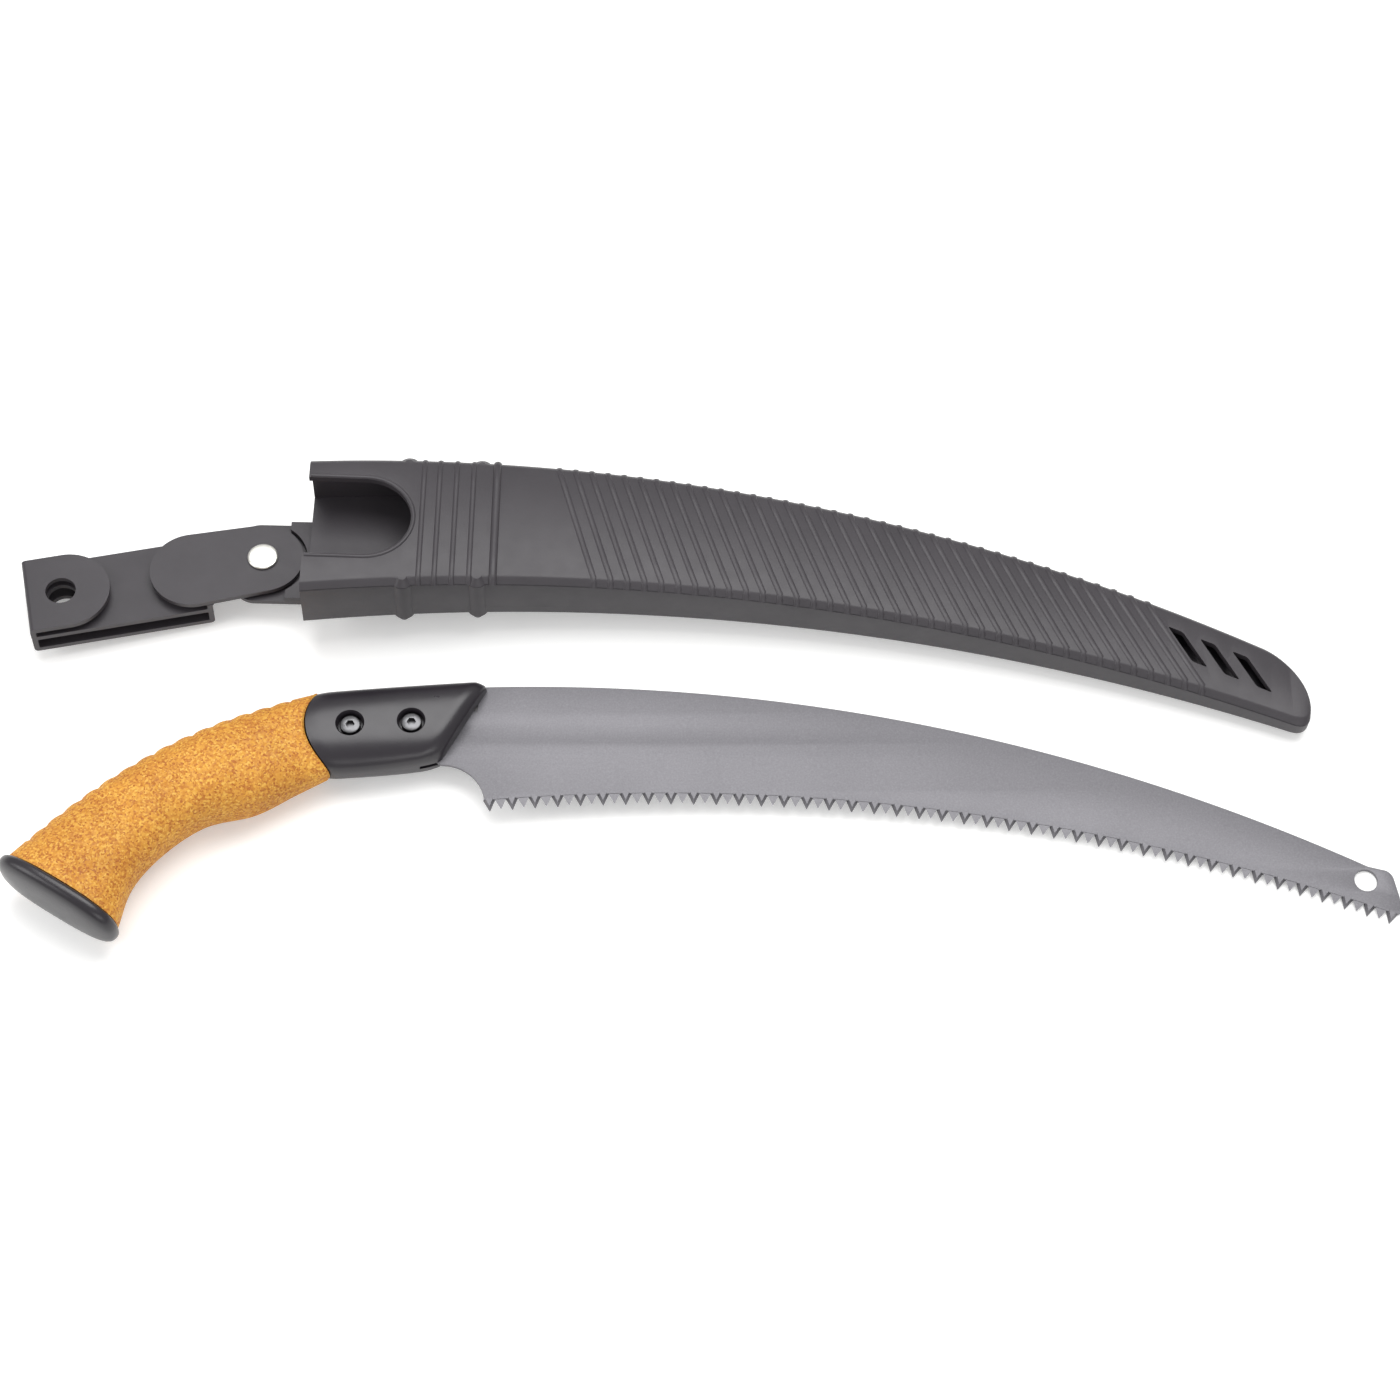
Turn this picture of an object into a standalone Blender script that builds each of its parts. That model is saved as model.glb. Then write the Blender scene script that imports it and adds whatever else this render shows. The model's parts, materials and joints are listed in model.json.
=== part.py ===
"""Curved pruning saw lying in front of its scabbard, which swivels on a belt hanger.

Both lie flat on a table at z = 0. Each is modelled in a frame of its own. The saw's frame
has its origin on the front handle bolt, +X towards the blade's tip, +Y towards its spine
and +Z out of the face that is seen. The scabbard's frame is the one that the blade has
when it is put away, but about 4 mm lower, with z = 0 on the scabbard's flat back.
"""
import bmesh
import bpy
from math import atan2, cos, pi, radians, sin, sqrt
from mathutils import Matrix, Vector

MM = 0.001
MERGE = 1e-6                # points nearer than this are one point
ROD_TURN = radians(7)       # so that a rod's edges miss those of a turned piece

# Clearances
GAP = 0.3 * MM              # between fixed pieces that touch on the real object
SHANK_GAP = 0.25 * MM       # round a screw, bolt or rivet shank
PAST = 10 * MM              # how far a cutter runs on past what it cuts

# Blade
BLADE_THICK = 1.4 * MM
BLADE_END = 364.5 * MM      # x of the blade's blunt end
SPINE_RADIUS = 671 * MM
SPINE_TOP = (45 * MM, 19.0 * MM)
TEETH_RADIUS = 750 * MM
TEETH_TOP = (93 * MM, -30.1 * MM)
TOOTH_PITCH = 4.22 * MM
TOOTH_DEPTH = 4.3 * MM
HEEL_RADIUS = 16.4 * MM
BLADE_START = 30 * MM       # x where the spine leaves the ferrule
HANG_HOLE = (353 * MM, -62.2 * MM)
HANG_HOLE_RADIUS = 4.3 * MM
TANG_END = -33 * MM
TANG_TOP = 8.5 * MM
TANG_BOTTOM = -10 * MM
TANG_NECK = 6 * MM         # from the tang's upper end to the start of the spine

# Handle bolts and their barrel nuts
BOLTS = {"front": (0.0, 0.0), "rear": (-22.7 * MM, -1 * MM)}
BOLT_HEAD_RADIUS = 3.8 * MM
BOLT_HEAD_HEIGHT = 3.2 * MM
BOLT_SHANK_RADIUS = 1.7 * MM
SOCKET_RADIUS = 1.75 * MM   # to the corners of the hexagon
SOCKET_DEPTH = 2 * MM
NUT_WALL = 1 * MM
BOLT_RECESS_RADIUS = 4.8 * MM
BOLT_SEAT = 5.2 * MM        # from the blade's middle to the seat of a head

# Ferrule, with the core that runs on through the grip
FERRULE_THICK = 19.4 * MM
FERRULE_FRONT = ((28.6 * MM, 19.5 * MM), (9.4 * MM, -14.7 * MM))
FERRULE_MIDDLE = ((4 * MM, 18.4 * MM), (-8 * MM, -17.2 * MM))
FERRULE_REAR = ((-34.8 * MM, 15.5 * MM), (-29.5 * MM, -18.5 * MM))
FERRULE_CHAMFER = 3 * MM
REAR_BULGE = 7 * MM         # how far the joint of ferrule and grip curves back

# Grip: pairs of points on its back and its belly, with the thickness between them
GRIP_STATIONS = (
    ((-35.2 * MM, 15.4 * MM), (-30 * MM, -18.7 * MM), 20.5 * MM),
    ((-52 * MM, 10.0 * MM), (-42.5 * MM, -25.2 * MM), 25 * MM),
    ((-72 * MM, 2.2 * MM), (-57 * MM, -33.0 * MM), 28.5 * MM),
    ((-92 * MM, -8.4 * MM), (-75 * MM, -37.6 * MM), 29 * MM),
    ((-112 * MM, -22.0 * MM), (-89.5 * MM, -48.8 * MM), 28 * MM),
    ((-130 * MM, -37.1 * MM), (-99.5 * MM, -62.5 * MM), 27 * MM),
    ((-145.4 * MM, -52.3 * MM), (-103.6 * MM, -78.4 * MM), 27.5 * MM),
)
GRIP_POWER = 2.4            # 2 is an ellipse, more is squarer
GRIP_WALL = 5 * MM
GRIP_STEPS = 3              # rings between two stations
CORE_LEAD = (8 * MM, 3 * MM, 0)  # how far the core reaches on into the ferrule

# Butt cap and its screw
CAP_RIM = 3 * MM
CAP_DEPTH = 8 * MM
CAP_FLARE = 1.2 * MM
CAP_WALL = 4 * MM           # solid cap under the screw's head
CAP_SCREW_RADIUS = 2 * MM
CAP_SCREW_HEAD_RADIUS = 3.9 * MM
CAP_SCREW_HEAD = 2.2 * MM
CAP_SCREW_LENGTH = 20 * MM
SCREW_END_ROOM = 2 * MM

# Scabbard
MOUTH = -10 * MM            # x of the mouth, where the blade's spine starts at BLADE_START
SCABBARD_END = 371.5 * MM
SHELL_TOP_RADIUS = 730.2 * MM
SHELL_TOP_PEAK = (45 * MM, 18.2 * MM)
SHELL_BOTTOM_RADIUS = 804.4 * MM
SHELL_BOTTOM_PEAK = (93 * MM, -38.1 * MM)
MOUTH_THICK = 25 * MM
TIP_THICK = 10 * MM
TAPER_POWER = 1.35
SHELL_WALL = 2.4 * MM
SHELL_CHAMFER = 2.45 * MM   # also the thickness of the front shell
TIP_WALL = 3 * MM
TIP_TOP_RADIUS = 15 * MM
TIP_BOTTOM_RADIUS = 7 * MM
SHELL_STEPS = 30
NOTCH_WIDTH = 35.5 * MM
NOTCH_LENGTH = 40 * MM
NOTCH_Y = -11 * MM
DRAIN_SLOTS = ((326.5 * MM, -54 * MM), (338.5 * MM, -59 * MM), (350.5 * MM, -64 * MM))
DRAIN_LENGTH = 17.5 * MM    # along the leaning sides
DRAIN_WIDTH = 6.2 * MM      # along the short sides
DRAIN_LEAN = radians(27)
DRAIN_SLOPE = radians(23)   # of the short sides, which follow the spine
DRAIN_CORNER = 1.2 * MM

# Posts and screws that hold the two shells together
POST_X = (28 * MM, 56 * MM)
POST_RADIUS = 4.2 * MM
POST_PROUD = 1.4 * MM       # how far a post stands out of the side wall
SCREW_INSET = 0.9 * MM      # from the side wall's outside to a screw's axis
POST_INSET = POST_RADIUS - POST_PROUD
POST_SIDES = 20
POST_SPLIT = 9 * MM         # height where the posts of the two shells meet
SHELL_SCREW_RADIUS = 1.05 * MM
SHELL_SCREW_HEAD_RADIUS = 1.9 * MM
SHELL_SCREW_HEAD = 1.2 * MM
SHELL_SCREW_TOP = 16 * MM
SHELL_HEAD_DEPTH = 1.8 * MM

# Lug behind the mouth, and the rivet
RIVET_X = -28 * MM
RIVET_Y = -14.5 * MM
LUG_WIDTH = 36 * MM
LUG_THICK = 4.8 * MM
TONGUE_THICK = 2.2 * MM
TONGUE_REACH = 11 * MM      # from the rivet to the tongue's end
TONGUE_CORNER = 9 * MM
LUG_ROOT = 43 * MM          # from the rivet to the lug's end under the back wall
RIVET_RADIUS = 3 * MM
RIVET_HEAD_RADIUS = 5.85 * MM
RIVET_HEAD = 1.1 * MM
RIVET_TAIL_RADIUS = 4.6 * MM
BURR_RADIUS = 5.6 * MM
BURR_THICK = 0.8 * MM
SWIVEL_GAP = 0.25 * MM
SPACER_THICK = 0.8 * MM
SPACER_RADIUS = 8 * MM

# Belt hanger
HANGER_TURN = radians(13)   # how far it is turned on the rivet as it lies
STRAP_WIDTH = 33 * MM
STRAP_THICK = 2 * MM
BELT_SLOT = 5.2 * MM
HOOK_GAP = 2.7 * MM
LOOP_START = -22 * MM       # right end of the belt loop, from the rivet
LOOP_LENGTH = 69 * MM
FLAP_LENGTH = 32 * MM
FLAP_HOLE_RADIUS = 5.75 * MM
FLAP_HOLE_FROM_END = 13.4 * MM
OVAL_SPAN = 27 * MM         # from the rivet to the centre of the oval's far end
OVAL_RIVET_RADIUS = 15.6 * MM
SHOULDER_CLEAR = 1.6 * MM   # from the oval's end to the lug's hollow shoulder

# Blade retainer, a leaf spring on the inside of the back wall
RETAINER_X = 46 * MM
RETAINER_LENGTH = 34 * MM
RETAINER_WIDTH = 9 * MM
RETAINER_THICK = 0.6 * MM
RETAINER_RISE = 2.4 * MM
RETAINER_RIVET_RADIUS = 1.4 * MM
RETAINER_RIVET_HEAD_RADIUS = 2.6 * MM
RETAINER_RIVET_HEAD = 0.8 * MM
RETAINER_SIDES = 16

# Where the two frames lie on the table
SAW_PLACE = (-107.5 * MM, -20 * MM, radians(1))
SCABBARD_PLACE = (-140.7 * MM, 69.2 * MM, 0.0)

FINISHES = {
    "blade_steel": ((0.27, 0.265, 0.28), 0.42, 0.85),
    "bolt_steel": ((0.12, 0.12, 0.13), 0.35, 0.9),
    "rivet_metal": ((0.78, 0.76, 0.70), 0.32, 0.9),
    "spring_steel": ((0.35, 0.35, 0.36), 0.35, 0.95),
    "black_plastic": ((0.045, 0.042, 0.047), 0.42, 0.0),
    "gloss_plastic": ((0.03, 0.028, 0.032), 0.25, 0.0),
    "cork_rubber": ((0.60, 0.27, 0.05), 0.75, 0.0),
}


# ---------------------------------------------------------------- scene helpers

def clear_scene():
    for obj in list(bpy.data.objects):
        bpy.data.objects.remove(obj, do_unlink=True)
    for group in list(bpy.data.collections):
        bpy.data.collections.remove(group)


def new_collection(name):
    group = bpy.data.collections.new(name)
    bpy.context.scene.collection.children.link(group)
    return group


def new_frame(name, parent=None):
    frame = bpy.data.objects.new(name, None)
    PARTS.objects.link(frame)
    frame.parent = parent
    return frame


def paint(obj, finish):
    """Give one object its own Principled material."""
    colour, roughness, metallic = FINISHES[finish]
    mat = bpy.data.materials.new(obj.name + "_" + finish)
    mat.use_nodes = True
    shader = mat.node_tree.nodes["Principled BSDF"]
    shader.inputs["Base Color"].default_value = (*colour, 1)
    shader.inputs["Roughness"].default_value = roughness
    shader.inputs["Metallic"].default_value = metallic
    mat.diffuse_color = (*colour, 1)
    obj.data.materials.clear()
    obj.data.materials.append(mat)


def add_object(name, mesh, group=None):
    obj = bpy.data.objects.new(name, mesh)
    (group or PARTS).objects.link(obj)
    return obj


def add_cutter(name, mesh):
    obj = add_object(name, mesh, CUTTERS)
    obj.hide_render = True
    obj.display_type = "WIRE"
    return obj


def boolean(obj, tool, operation):
    mod = obj.modifiers.new(operation.lower() + "_" + tool.name, "BOOLEAN")
    mod.operation = operation
    mod.object = tool
    mod.solver = "EXACT"


def cut(obj, *tools):
    for tool in tools:
        boolean(obj, tool, "DIFFERENCE")


def finish(obj, frame, material, smooth=True):
    """Apply an object's Booleans, hang it on its frame and paint it."""
    bpy.context.view_layer.update()
    graph = bpy.context.evaluated_depsgraph_get()
    mesh = bpy.data.meshes.new_from_object(obj.evaluated_get(graph))
    obj.modifiers.clear()
    obj.data = mesh
    if smooth:
        mesh.shade_smooth()
        mesh.set_sharp_from_angle(angle=radians(32))
    obj.parent = frame
    paint(obj, material)
    return obj


# ---------------------------------------------------------------- shape helpers

def made_mesh(holder):
    """The plain closed mesh that a helper object makes. The helper goes."""
    bpy.context.view_layer.update()
    graph = bpy.context.evaluated_depsgraph_get()
    mesh = bpy.data.meshes.new_from_object(holder.evaluated_get(graph))
    bpy.data.objects.remove(holder, do_unlink=True)
    bm = bmesh.new()
    bm.from_mesh(mesh)
    bmesh.ops.remove_doubles(bm, verts=bm.verts, dist=MERGE)
    bmesh.ops.recalc_face_normals(bm, faces=bm.faces)
    bm.to_mesh(mesh)
    bm.free()
    mesh.materials.clear()
    return mesh


def curve_plate(name, outlines, thickness, z_middle=0.0):
    """A flat plate from closed outlines, the first its edge and the others its holes."""
    curve = bpy.data.curves.new(name, "CURVE")
    curve.dimensions = "2D"
    curve.fill_mode = "BOTH"
    curve.extrude = thickness / 2
    for outline in outlines:
        spline = curve.splines.new("POLY")
        spline.points.add(len(outline) - 1)
        for point, (x, y) in zip(spline.points, outline):
            point.co = (x, y, 0, 1)
        spline.use_cyclic_u = True
    mesh = made_mesh(add_object(name + "_curve", curve))
    mesh.transform(Matrix.Translation((0, 0, z_middle)))
    return mesh


def stepped_pin(name, steps, sides=28):
    """A turned piece round Z from (radius, z) steps, lowest first, closed at both ends."""
    profile = [(0.0, steps[0][1])] + list(steps) + [(0.0, steps[-1][1])]
    mesh = bpy.data.meshes.new(name)
    mesh.from_pydata([(radius, 0, z) for radius, z in profile], [(k, k + 1) for k in range(len(profile) - 1)], [])
    holder = add_object(name + "_profile", mesh)
    screw = holder.modifiers.new("turn", "SCREW")
    screw.axis = "Z"
    screw.angle = 2 * pi
    screw.steps = sides
    screw.render_steps = sides
    screw.use_merge_vertices = True
    screw.merge_threshold = MERGE
    return made_mesh(holder)


def rod(name, radius, low, high, sides=28):
    """A plain cylinder round Z."""
    bm = bmesh.new()
    place = Matrix.Translation((0, 0, (high + low) / 2)) @ Matrix.Rotation(ROD_TURN, 4, "Z")
    bmesh.ops.create_cone(bm, cap_ends=True, segments=sides, radius1=radius, radius2=radius,
                          depth=high - low, matrix=place)
    mesh = bpy.data.meshes.new(name)
    bm.to_mesh(mesh)
    bm.free()
    return mesh


def moved(mesh, matrix):
    mesh.transform(matrix)
    return mesh


def arc(centre, radius, start, end, steps):
    """Points on an arc from one angle to another, both in radians."""
    return [(centre[0] + radius * cos(start + (end - start) * k / steps),
             centre[1] + radius * sin(start + (end - start) * k / steps))
            for k in range(steps + 1)]


def circle(centre, radius, sides=32):
    return arc(centre, radius, 0, 2 * pi, sides)[:-1]


def slot_outline(start, end, radius, steps=12):
    """A slot with round ends between two centres."""
    angle = atan2(end[1] - start[1], end[0] - start[0])
    return (arc(end, radius, angle - pi / 2, angle + pi / 2, steps)
            + arc(start, radius, angle + pi / 2, angle + 3 * pi / 2, steps))


def loft(name, rings):
    """Skin a row of rings. Each ring runs round and mirrors itself about its middle plane."""
    bm = bmesh.new()
    loops = [[bm.verts.new(point) for point in ring] for ring in rings]
    count = len(loops[0])
    for near, far in zip(loops, loops[1:]):
        for k in range(count):
            nxt = (k + 1) % count
            bm.faces.new((near[k], near[nxt], far[nxt], far[k]))
    for loop in (loops[0], loops[-1]):
        for k in range(count // 2 - 1):
            bm.faces.new((loop[k], loop[k + 1], loop[-k - 2], loop[-k - 1]))
    bmesh.ops.remove_doubles(bm, verts=bm.verts, dist=MERGE / 10)
    bmesh.ops.recalc_face_normals(bm, faces=bm.faces)
    mesh = bpy.data.meshes.new(name)
    bm.to_mesh(mesh)
    bm.free()
    return mesh


# ---------------------------------------------------------------- blade

def arch_y(x, peak, radius):
    """Height at x of a long arc with its peak at one point."""
    return peak[1] - radius + sqrt(radius ** 2 - (x - peak[0]) ** 2)


def spine_y(x):
    return arch_y(x, SPINE_TOP, SPINE_RADIUS)


def teeth_y(x):
    return arch_y(x, TEETH_TOP, TEETH_RADIUS)


def tooth_row(start, end):
    """Points and gullets along the tooth arc, from x = start to x = end."""
    centre = (TEETH_TOP[0], TEETH_TOP[1] - TEETH_RADIUS)
    first = atan2(sqrt(TEETH_RADIUS ** 2 - (start - centre[0]) ** 2), start - centre[0])
    last = atan2(sqrt(TEETH_RADIUS ** 2 - (end - centre[0]) ** 2), end - centre[0])
    count = round((first - last) * TEETH_RADIUS / TOOTH_PITCH)
    row = []
    for k in range(2 * count + 1):
        angle = first + (last - first) * k / (2 * count)
        radius = TEETH_RADIUS + (TOOTH_DEPTH if k % 2 else 0)
        row.append((centre[0] + radius * cos(angle), centre[1] + radius * sin(angle)))
    return row


def tang_edges(grow=0.0):
    """Upper and lower edge of the tang, from the blade's root to the tang's end and back."""
    end = TANG_END - grow
    corner = 3 * MM + grow
    top = TANG_TOP + grow
    bottom = TANG_BOTTOM - grow
    upper = [(BLADE_START - TANG_NECK - grow, top)] + arc((end + corner, top - corner), corner, pi / 2, pi, 5)
    lower = arc((end + corner, bottom + corner), corner, pi, 3 * pi / 2, 5) + [(5 * MM - grow, bottom)]
    return upper + lower


def make_blade(frame):
    heel_centre = (11 * MM, teeth_y(11 * MM) + 4.2 * MM)
    heel_end = heel_centre[0] + HEEL_RADIUS
    heel = arc(heel_centre, HEEL_RADIUS, pi / 2, 0.06, 10)
    teeth = tooth_row(heel_end, BLADE_END - 3 * MM)
    last = teeth[-1]
    end = [(BLADE_END + 0.6 * MM, last[1] + 5 * MM)]
    end += arc((BLADE_END - 5.5 * MM, spine_y(BLADE_END) - 0.4 * MM), 4.5 * MM, 0.15, 1.15, 5)
    spine = [(x, spine_y(x)) for x in
             [BLADE_START + (BLADE_END - 10 * MM - BLADE_START) * k / 40 for k in range(41)]]
    outline = heel + teeth + end + spine[::-1] + tang_edges()
    holes = [circle(HANG_HOLE, HANG_HOLE_RADIUS)]
    hole_radius = BOLT_SHANK_RADIUS + SHANK_GAP + NUT_WALL + GAP
    holes += [circle(place, hole_radius, 24) for place in BOLTS.values()]
    blade = add_object("blade", curve_plate("blade", [outline] + holes, BLADE_THICK))
    return finish(blade, frame, "blade_steel", smooth=False)


# ---------------------------------------------------------------- handle

def oval_ring(top, bottom, thick, power=GRIP_POWER, bulge=0.0, inset=0.0, count=24):
    """A closed oval between two points of the blade's plane, swollen along the handle by bulge."""
    top = Vector((*top, 0))
    bottom = Vector((*bottom, 0))
    across = (top - bottom).normalized()
    along = Vector((across.y, -across.x, 0))
    middle = (top + bottom) / 2
    half = (top - bottom).length / 2 - inset
    depth = thick / 2 - inset
    ring = []
    for k in range(count):
        angle = 2 * pi * (k + 0.5) / count
        u = abs(cos(angle)) ** (2 / power) * (1 if cos(angle) > 0 else -1)
        v = abs(sin(angle)) ** (2 / power) * (1 if sin(angle) > 0 else -1)
        point = middle + across * (half * u) - along * (bulge * (1 - u * u))
        ring.append(point + Vector((0, 0, depth * v)))
    return ring


def blend_points(a, b, c, d, t):
    """Catmull-Rom between b and c."""
    return tuple(0.5 * (2 * q + (r - p) * t + (2 * p - 5 * q + 4 * r - s) * t * t
                        + (3 * q - p - 3 * r + s) * t ** 3) for p, q, r, s in zip(a, b, c, d))


def grip_path():
    """Back point, belly point and thickness of the grip at each ring."""
    rows = [(*back, *belly, thick) for back, belly, thick in GRIP_STATIONS]
    before = tuple(2 * p - q for p, q in zip(rows[0], rows[1]))
    after = tuple(2 * p - q for p, q in zip(rows[-1], rows[-2]))
    rows = [before] + rows + [after]
    path = []
    for k in range(1, len(rows) - 2):
        for step in range(GRIP_STEPS):
            path.append(blend_points(*rows[k - 1:k + 3], step / GRIP_STEPS))
    path.append(rows[-2])
    return [((r[0], r[1]), (r[2], r[3]), r[4]) for r in path]


def grip_rings(inset=0.0):
    path = grip_path()
    rings = []
    for index, (back, belly, thick) in enumerate(path):
        bulge = REAR_BULGE * max(0.0, 1 - index / (2 * GRIP_STEPS))
        rings.append(oval_ring(back, belly, thick, bulge=bulge, inset=inset))
    return rings


def handle_axis():
    """Middle of the grip's end and the direction in which the handle points there."""
    back, belly, _ = GRIP_STATIONS[-1]
    across = Vector((back[0] - belly[0], back[1] - belly[1], 0)).normalized()
    outward = Vector((-across.y, across.x, 0))
    middle = Vector(((back[0] + belly[0]) / 2, (back[1] + belly[1]) / 2, 0))
    return middle, outward


def bolt_holes(frame_name, radius, depth, z_middle):
    cutters = []
    for label, (x, y) in BOLTS.items():
        mesh = rod(frame_name, radius, z_middle - depth / 2, z_middle + depth / 2)
        mesh.transform(Matrix.Translation((x, y, 0)))
        cutters.append(add_cutter(frame_name + "_" + label, mesh))
    return cutters


def make_ferrule(frame):
    """Moulded ferrule with the core that runs on through the grip, slotted for the tang."""
    rings = [
        oval_ring(*FERRULE_FRONT, FERRULE_THICK, power=3, inset=FERRULE_CHAMFER * 0.6),
        oval_ring(*[(x - FERRULE_CHAMFER, y) for x, y in FERRULE_FRONT], FERRULE_THICK, power=3),
        oval_ring(*FERRULE_MIDDLE, FERRULE_THICK, power=2.8, bulge=REAR_BULGE * 0.3),
        oval_ring(*FERRULE_REAR, GRIP_STATIONS[0][2], bulge=REAR_BULGE),
    ]
    ferrule = add_object("ferrule", loft("ferrule", rings))
    core_rings = grip_rings(inset=GRIP_WALL)
    _, outward = handle_axis()
    start = [point + Vector(CORE_LEAD) for point in core_rings[0]]
    end = [point - outward * GAP for point in core_rings[-1]]
    core = add_cutter("core_rod", loft("core_rod", [start] + core_rings[:-1] + [end]))
    boolean(ferrule, core, "UNION")
    slot = tang_edges(GAP)
    front = BLADE_START + PAST
    spine = spine_y(BLADE_START)
    mouth = [(0, -3 * PAST), (front, -3 * PAST), (front, spine), (BLADE_START - GAP, spine + GAP)]
    slot_mesh = curve_plate("tang_slot", [slot[:-1] + [(5 * MM, TANG_BOTTOM - GAP)] + mouth],
                            BLADE_THICK + 2 * GAP)
    nut_radius = BOLT_SHANK_RADIUS + SHANK_GAP + NUT_WALL + SHANK_GAP
    recess = FERRULE_THICK
    cutters = [add_cutter("tang_slot", slot_mesh)]
    cutters += bolt_holes("bolt_bore", nut_radius, 4 * FERRULE_THICK, 0)
    cutters += bolt_holes("bolt_recess_front", BOLT_RECESS_RADIUS, recess, BOLT_SEAT + recess / 2)
    cutters += bolt_holes("bolt_recess_back", BOLT_RECESS_RADIUS, recess, -BOLT_SEAT - recess / 2)
    bore = rod("cap_bore", CAP_SCREW_RADIUS + SHANK_GAP, -CAP_SCREW_LENGTH - SCREW_END_ROOM, PAST)
    cutters.append(add_cutter("cap_bore", moved(bore, along_handle())))
    cut(ferrule, *cutters)
    return finish(ferrule, frame, "gloss_plastic")


def along_handle():
    """Matrix that puts +Z along the handle, out of the grip's end."""
    middle, outward = handle_axis()
    return Matrix.Translation(middle) @ outward.to_track_quat("Z", "Y").to_matrix().to_4x4()


def make_grip(frame):
    rings = grip_rings()
    rings[0] = [point - Vector((GAP, 0, 0)) for point in rings[0]]
    grip = add_object("grip", loft("grip", rings))
    hollow = grip_rings(inset=GRIP_WALL - GAP)
    _, outward = handle_axis()
    start = [point + Vector((PAST, 0, 0)) for point in hollow[0]]
    end = [point + outward * PAST for point in hollow[-1]]
    cut(grip, add_cutter("grip_hollow", loft("grip_hollow", [start] + hollow + [end])))
    return finish(grip, frame, "cork_rubber")


def make_butt_cap(frame):
    """Flared cap with a domed end, on the end of the core."""
    back, belly, thick = GRIP_STATIONS[-1]
    _, outward = handle_axis()
    profile = ((GAP, -0.2 * MM), (GAP + 0.8 * MM, -CAP_FLARE), (CAP_RIM + GAP, -CAP_FLARE),
               (CAP_DEPTH * 0.75, 0.6 * MM), (CAP_DEPTH, 4 * MM))
    rings = []
    for depth, inset in profile:
        ring = oval_ring(back, belly, thick, inset=inset)
        rings.append([point + outward * depth for point in ring])
    cap = add_object("butt_cap", loft("butt_cap", rings))
    hole = stepped_pin("cap_hole", [
        (CAP_SCREW_RADIUS + SHANK_GAP, -2 * MM), (CAP_SCREW_RADIUS + SHANK_GAP, CAP_WALL),
        (CAP_SCREW_HEAD_RADIUS + SHANK_GAP, CAP_WALL), (CAP_SCREW_HEAD_RADIUS + SHANK_GAP, CAP_DEPTH + 4 * MM)])
    cut(cap, add_cutter("cap_hole", moved(hole, along_handle())))
    return finish(cap, frame, "gloss_plastic")


def make_cap_screw(frame):
    steps = [(CAP_SCREW_RADIUS, -CAP_SCREW_LENGTH), (CAP_SCREW_RADIUS, CAP_WALL + GAP),
             (CAP_SCREW_HEAD_RADIUS, CAP_WALL + GAP), (CAP_SCREW_HEAD_RADIUS, CAP_WALL + GAP + CAP_SCREW_HEAD)]
    screw = add_object("cap_screw", moved(stepped_pin("cap_screw", steps), along_handle()))
    return finish(screw, frame, "bolt_steel")


def make_bolts(frame):
    """Socket-head bolts from the front, each in a barrel nut from the back."""
    seat = BOLT_SEAT + GAP
    for label, (x, y) in BOLTS.items():
        place = Matrix.Translation((x, y, 0))
        shank_end = -seat - 0.6 * MM
        bolt_mesh = stepped_pin("bolt_" + label, [
            (BOLT_SHANK_RADIUS, shank_end), (BOLT_SHANK_RADIUS, seat),
            (BOLT_HEAD_RADIUS, seat), (BOLT_HEAD_RADIUS, seat + BOLT_HEAD_HEIGHT - 0.4 * MM),
            (BOLT_HEAD_RADIUS - 0.4 * MM, seat + BOLT_HEAD_HEIGHT)])
        bolt = add_object("bolt_" + label, moved(bolt_mesh, place))
        head_top = seat + BOLT_HEAD_HEIGHT
        socket = rod("socket_" + label, SOCKET_RADIUS, head_top - SOCKET_DEPTH, head_top + PAST, 6)
        cut(bolt, add_cutter("socket_" + label, moved(socket, place)))
        finish(bolt, frame, "bolt_steel")
        bore = BOLT_SHANK_RADIUS + SHANK_GAP
        nut_mesh = stepped_pin("nut_" + label, [
            (BOLT_HEAD_RADIUS, -seat - BOLT_HEAD_HEIGHT), (BOLT_HEAD_RADIUS, -seat),
            (bore + NUT_WALL, -seat), (bore + NUT_WALL, seat - 0.6 * MM)])
        nut = add_object("nut_" + label, moved(nut_mesh, place))
        bore_mesh = rod("nut_bore_" + label, bore, shank_end - GAP, seat + PAST)
        groove = bmesh.new()
        bmesh.ops.create_cube(groove, size=1.0)
        groove_mesh = bpy.data.meshes.new("nut_groove_" + label)
        groove.to_mesh(groove_mesh)
        groove.free()
        groove_mesh.transform(Matrix.Translation((0, 0, -seat - BOLT_HEAD_HEIGHT))
                              @ Matrix.Diagonal((3 * BOLT_HEAD_RADIUS, 1.2 * MM, 2.4 * MM, 1)))
        cut(nut, add_cutter("nut_bore_" + label, moved(bore_mesh, place)),
            add_cutter("nut_groove_" + label, moved(groove_mesh, place)))
        finish(nut, frame, "bolt_steel")


# ---------------------------------------------------------------- scabbard

def corner_drop(x, radius):
    """How far an outline has turned in at x, on its way round the scabbard's end."""
    inside = x - (SCABBARD_END - radius)
    return radius - sqrt(max(radius ** 2 - inside ** 2, 0.0)) if inside > 0 else 0.0


def shell_arcs(x):
    """Upper and lower outside of the scabbard at x, before its end is rounded."""
    return arch_y(x, SHELL_TOP_PEAK, SHELL_TOP_RADIUS), arch_y(x, SHELL_BOTTOM_PEAK, SHELL_BOTTOM_RADIUS)


def shell_top(x):
    return shell_arcs(x)[0] - corner_drop(x, TIP_TOP_RADIUS)


def shell_bottom(x):
    return shell_arcs(x)[1] + corner_drop(x, TIP_BOTTOM_RADIUS)


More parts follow.
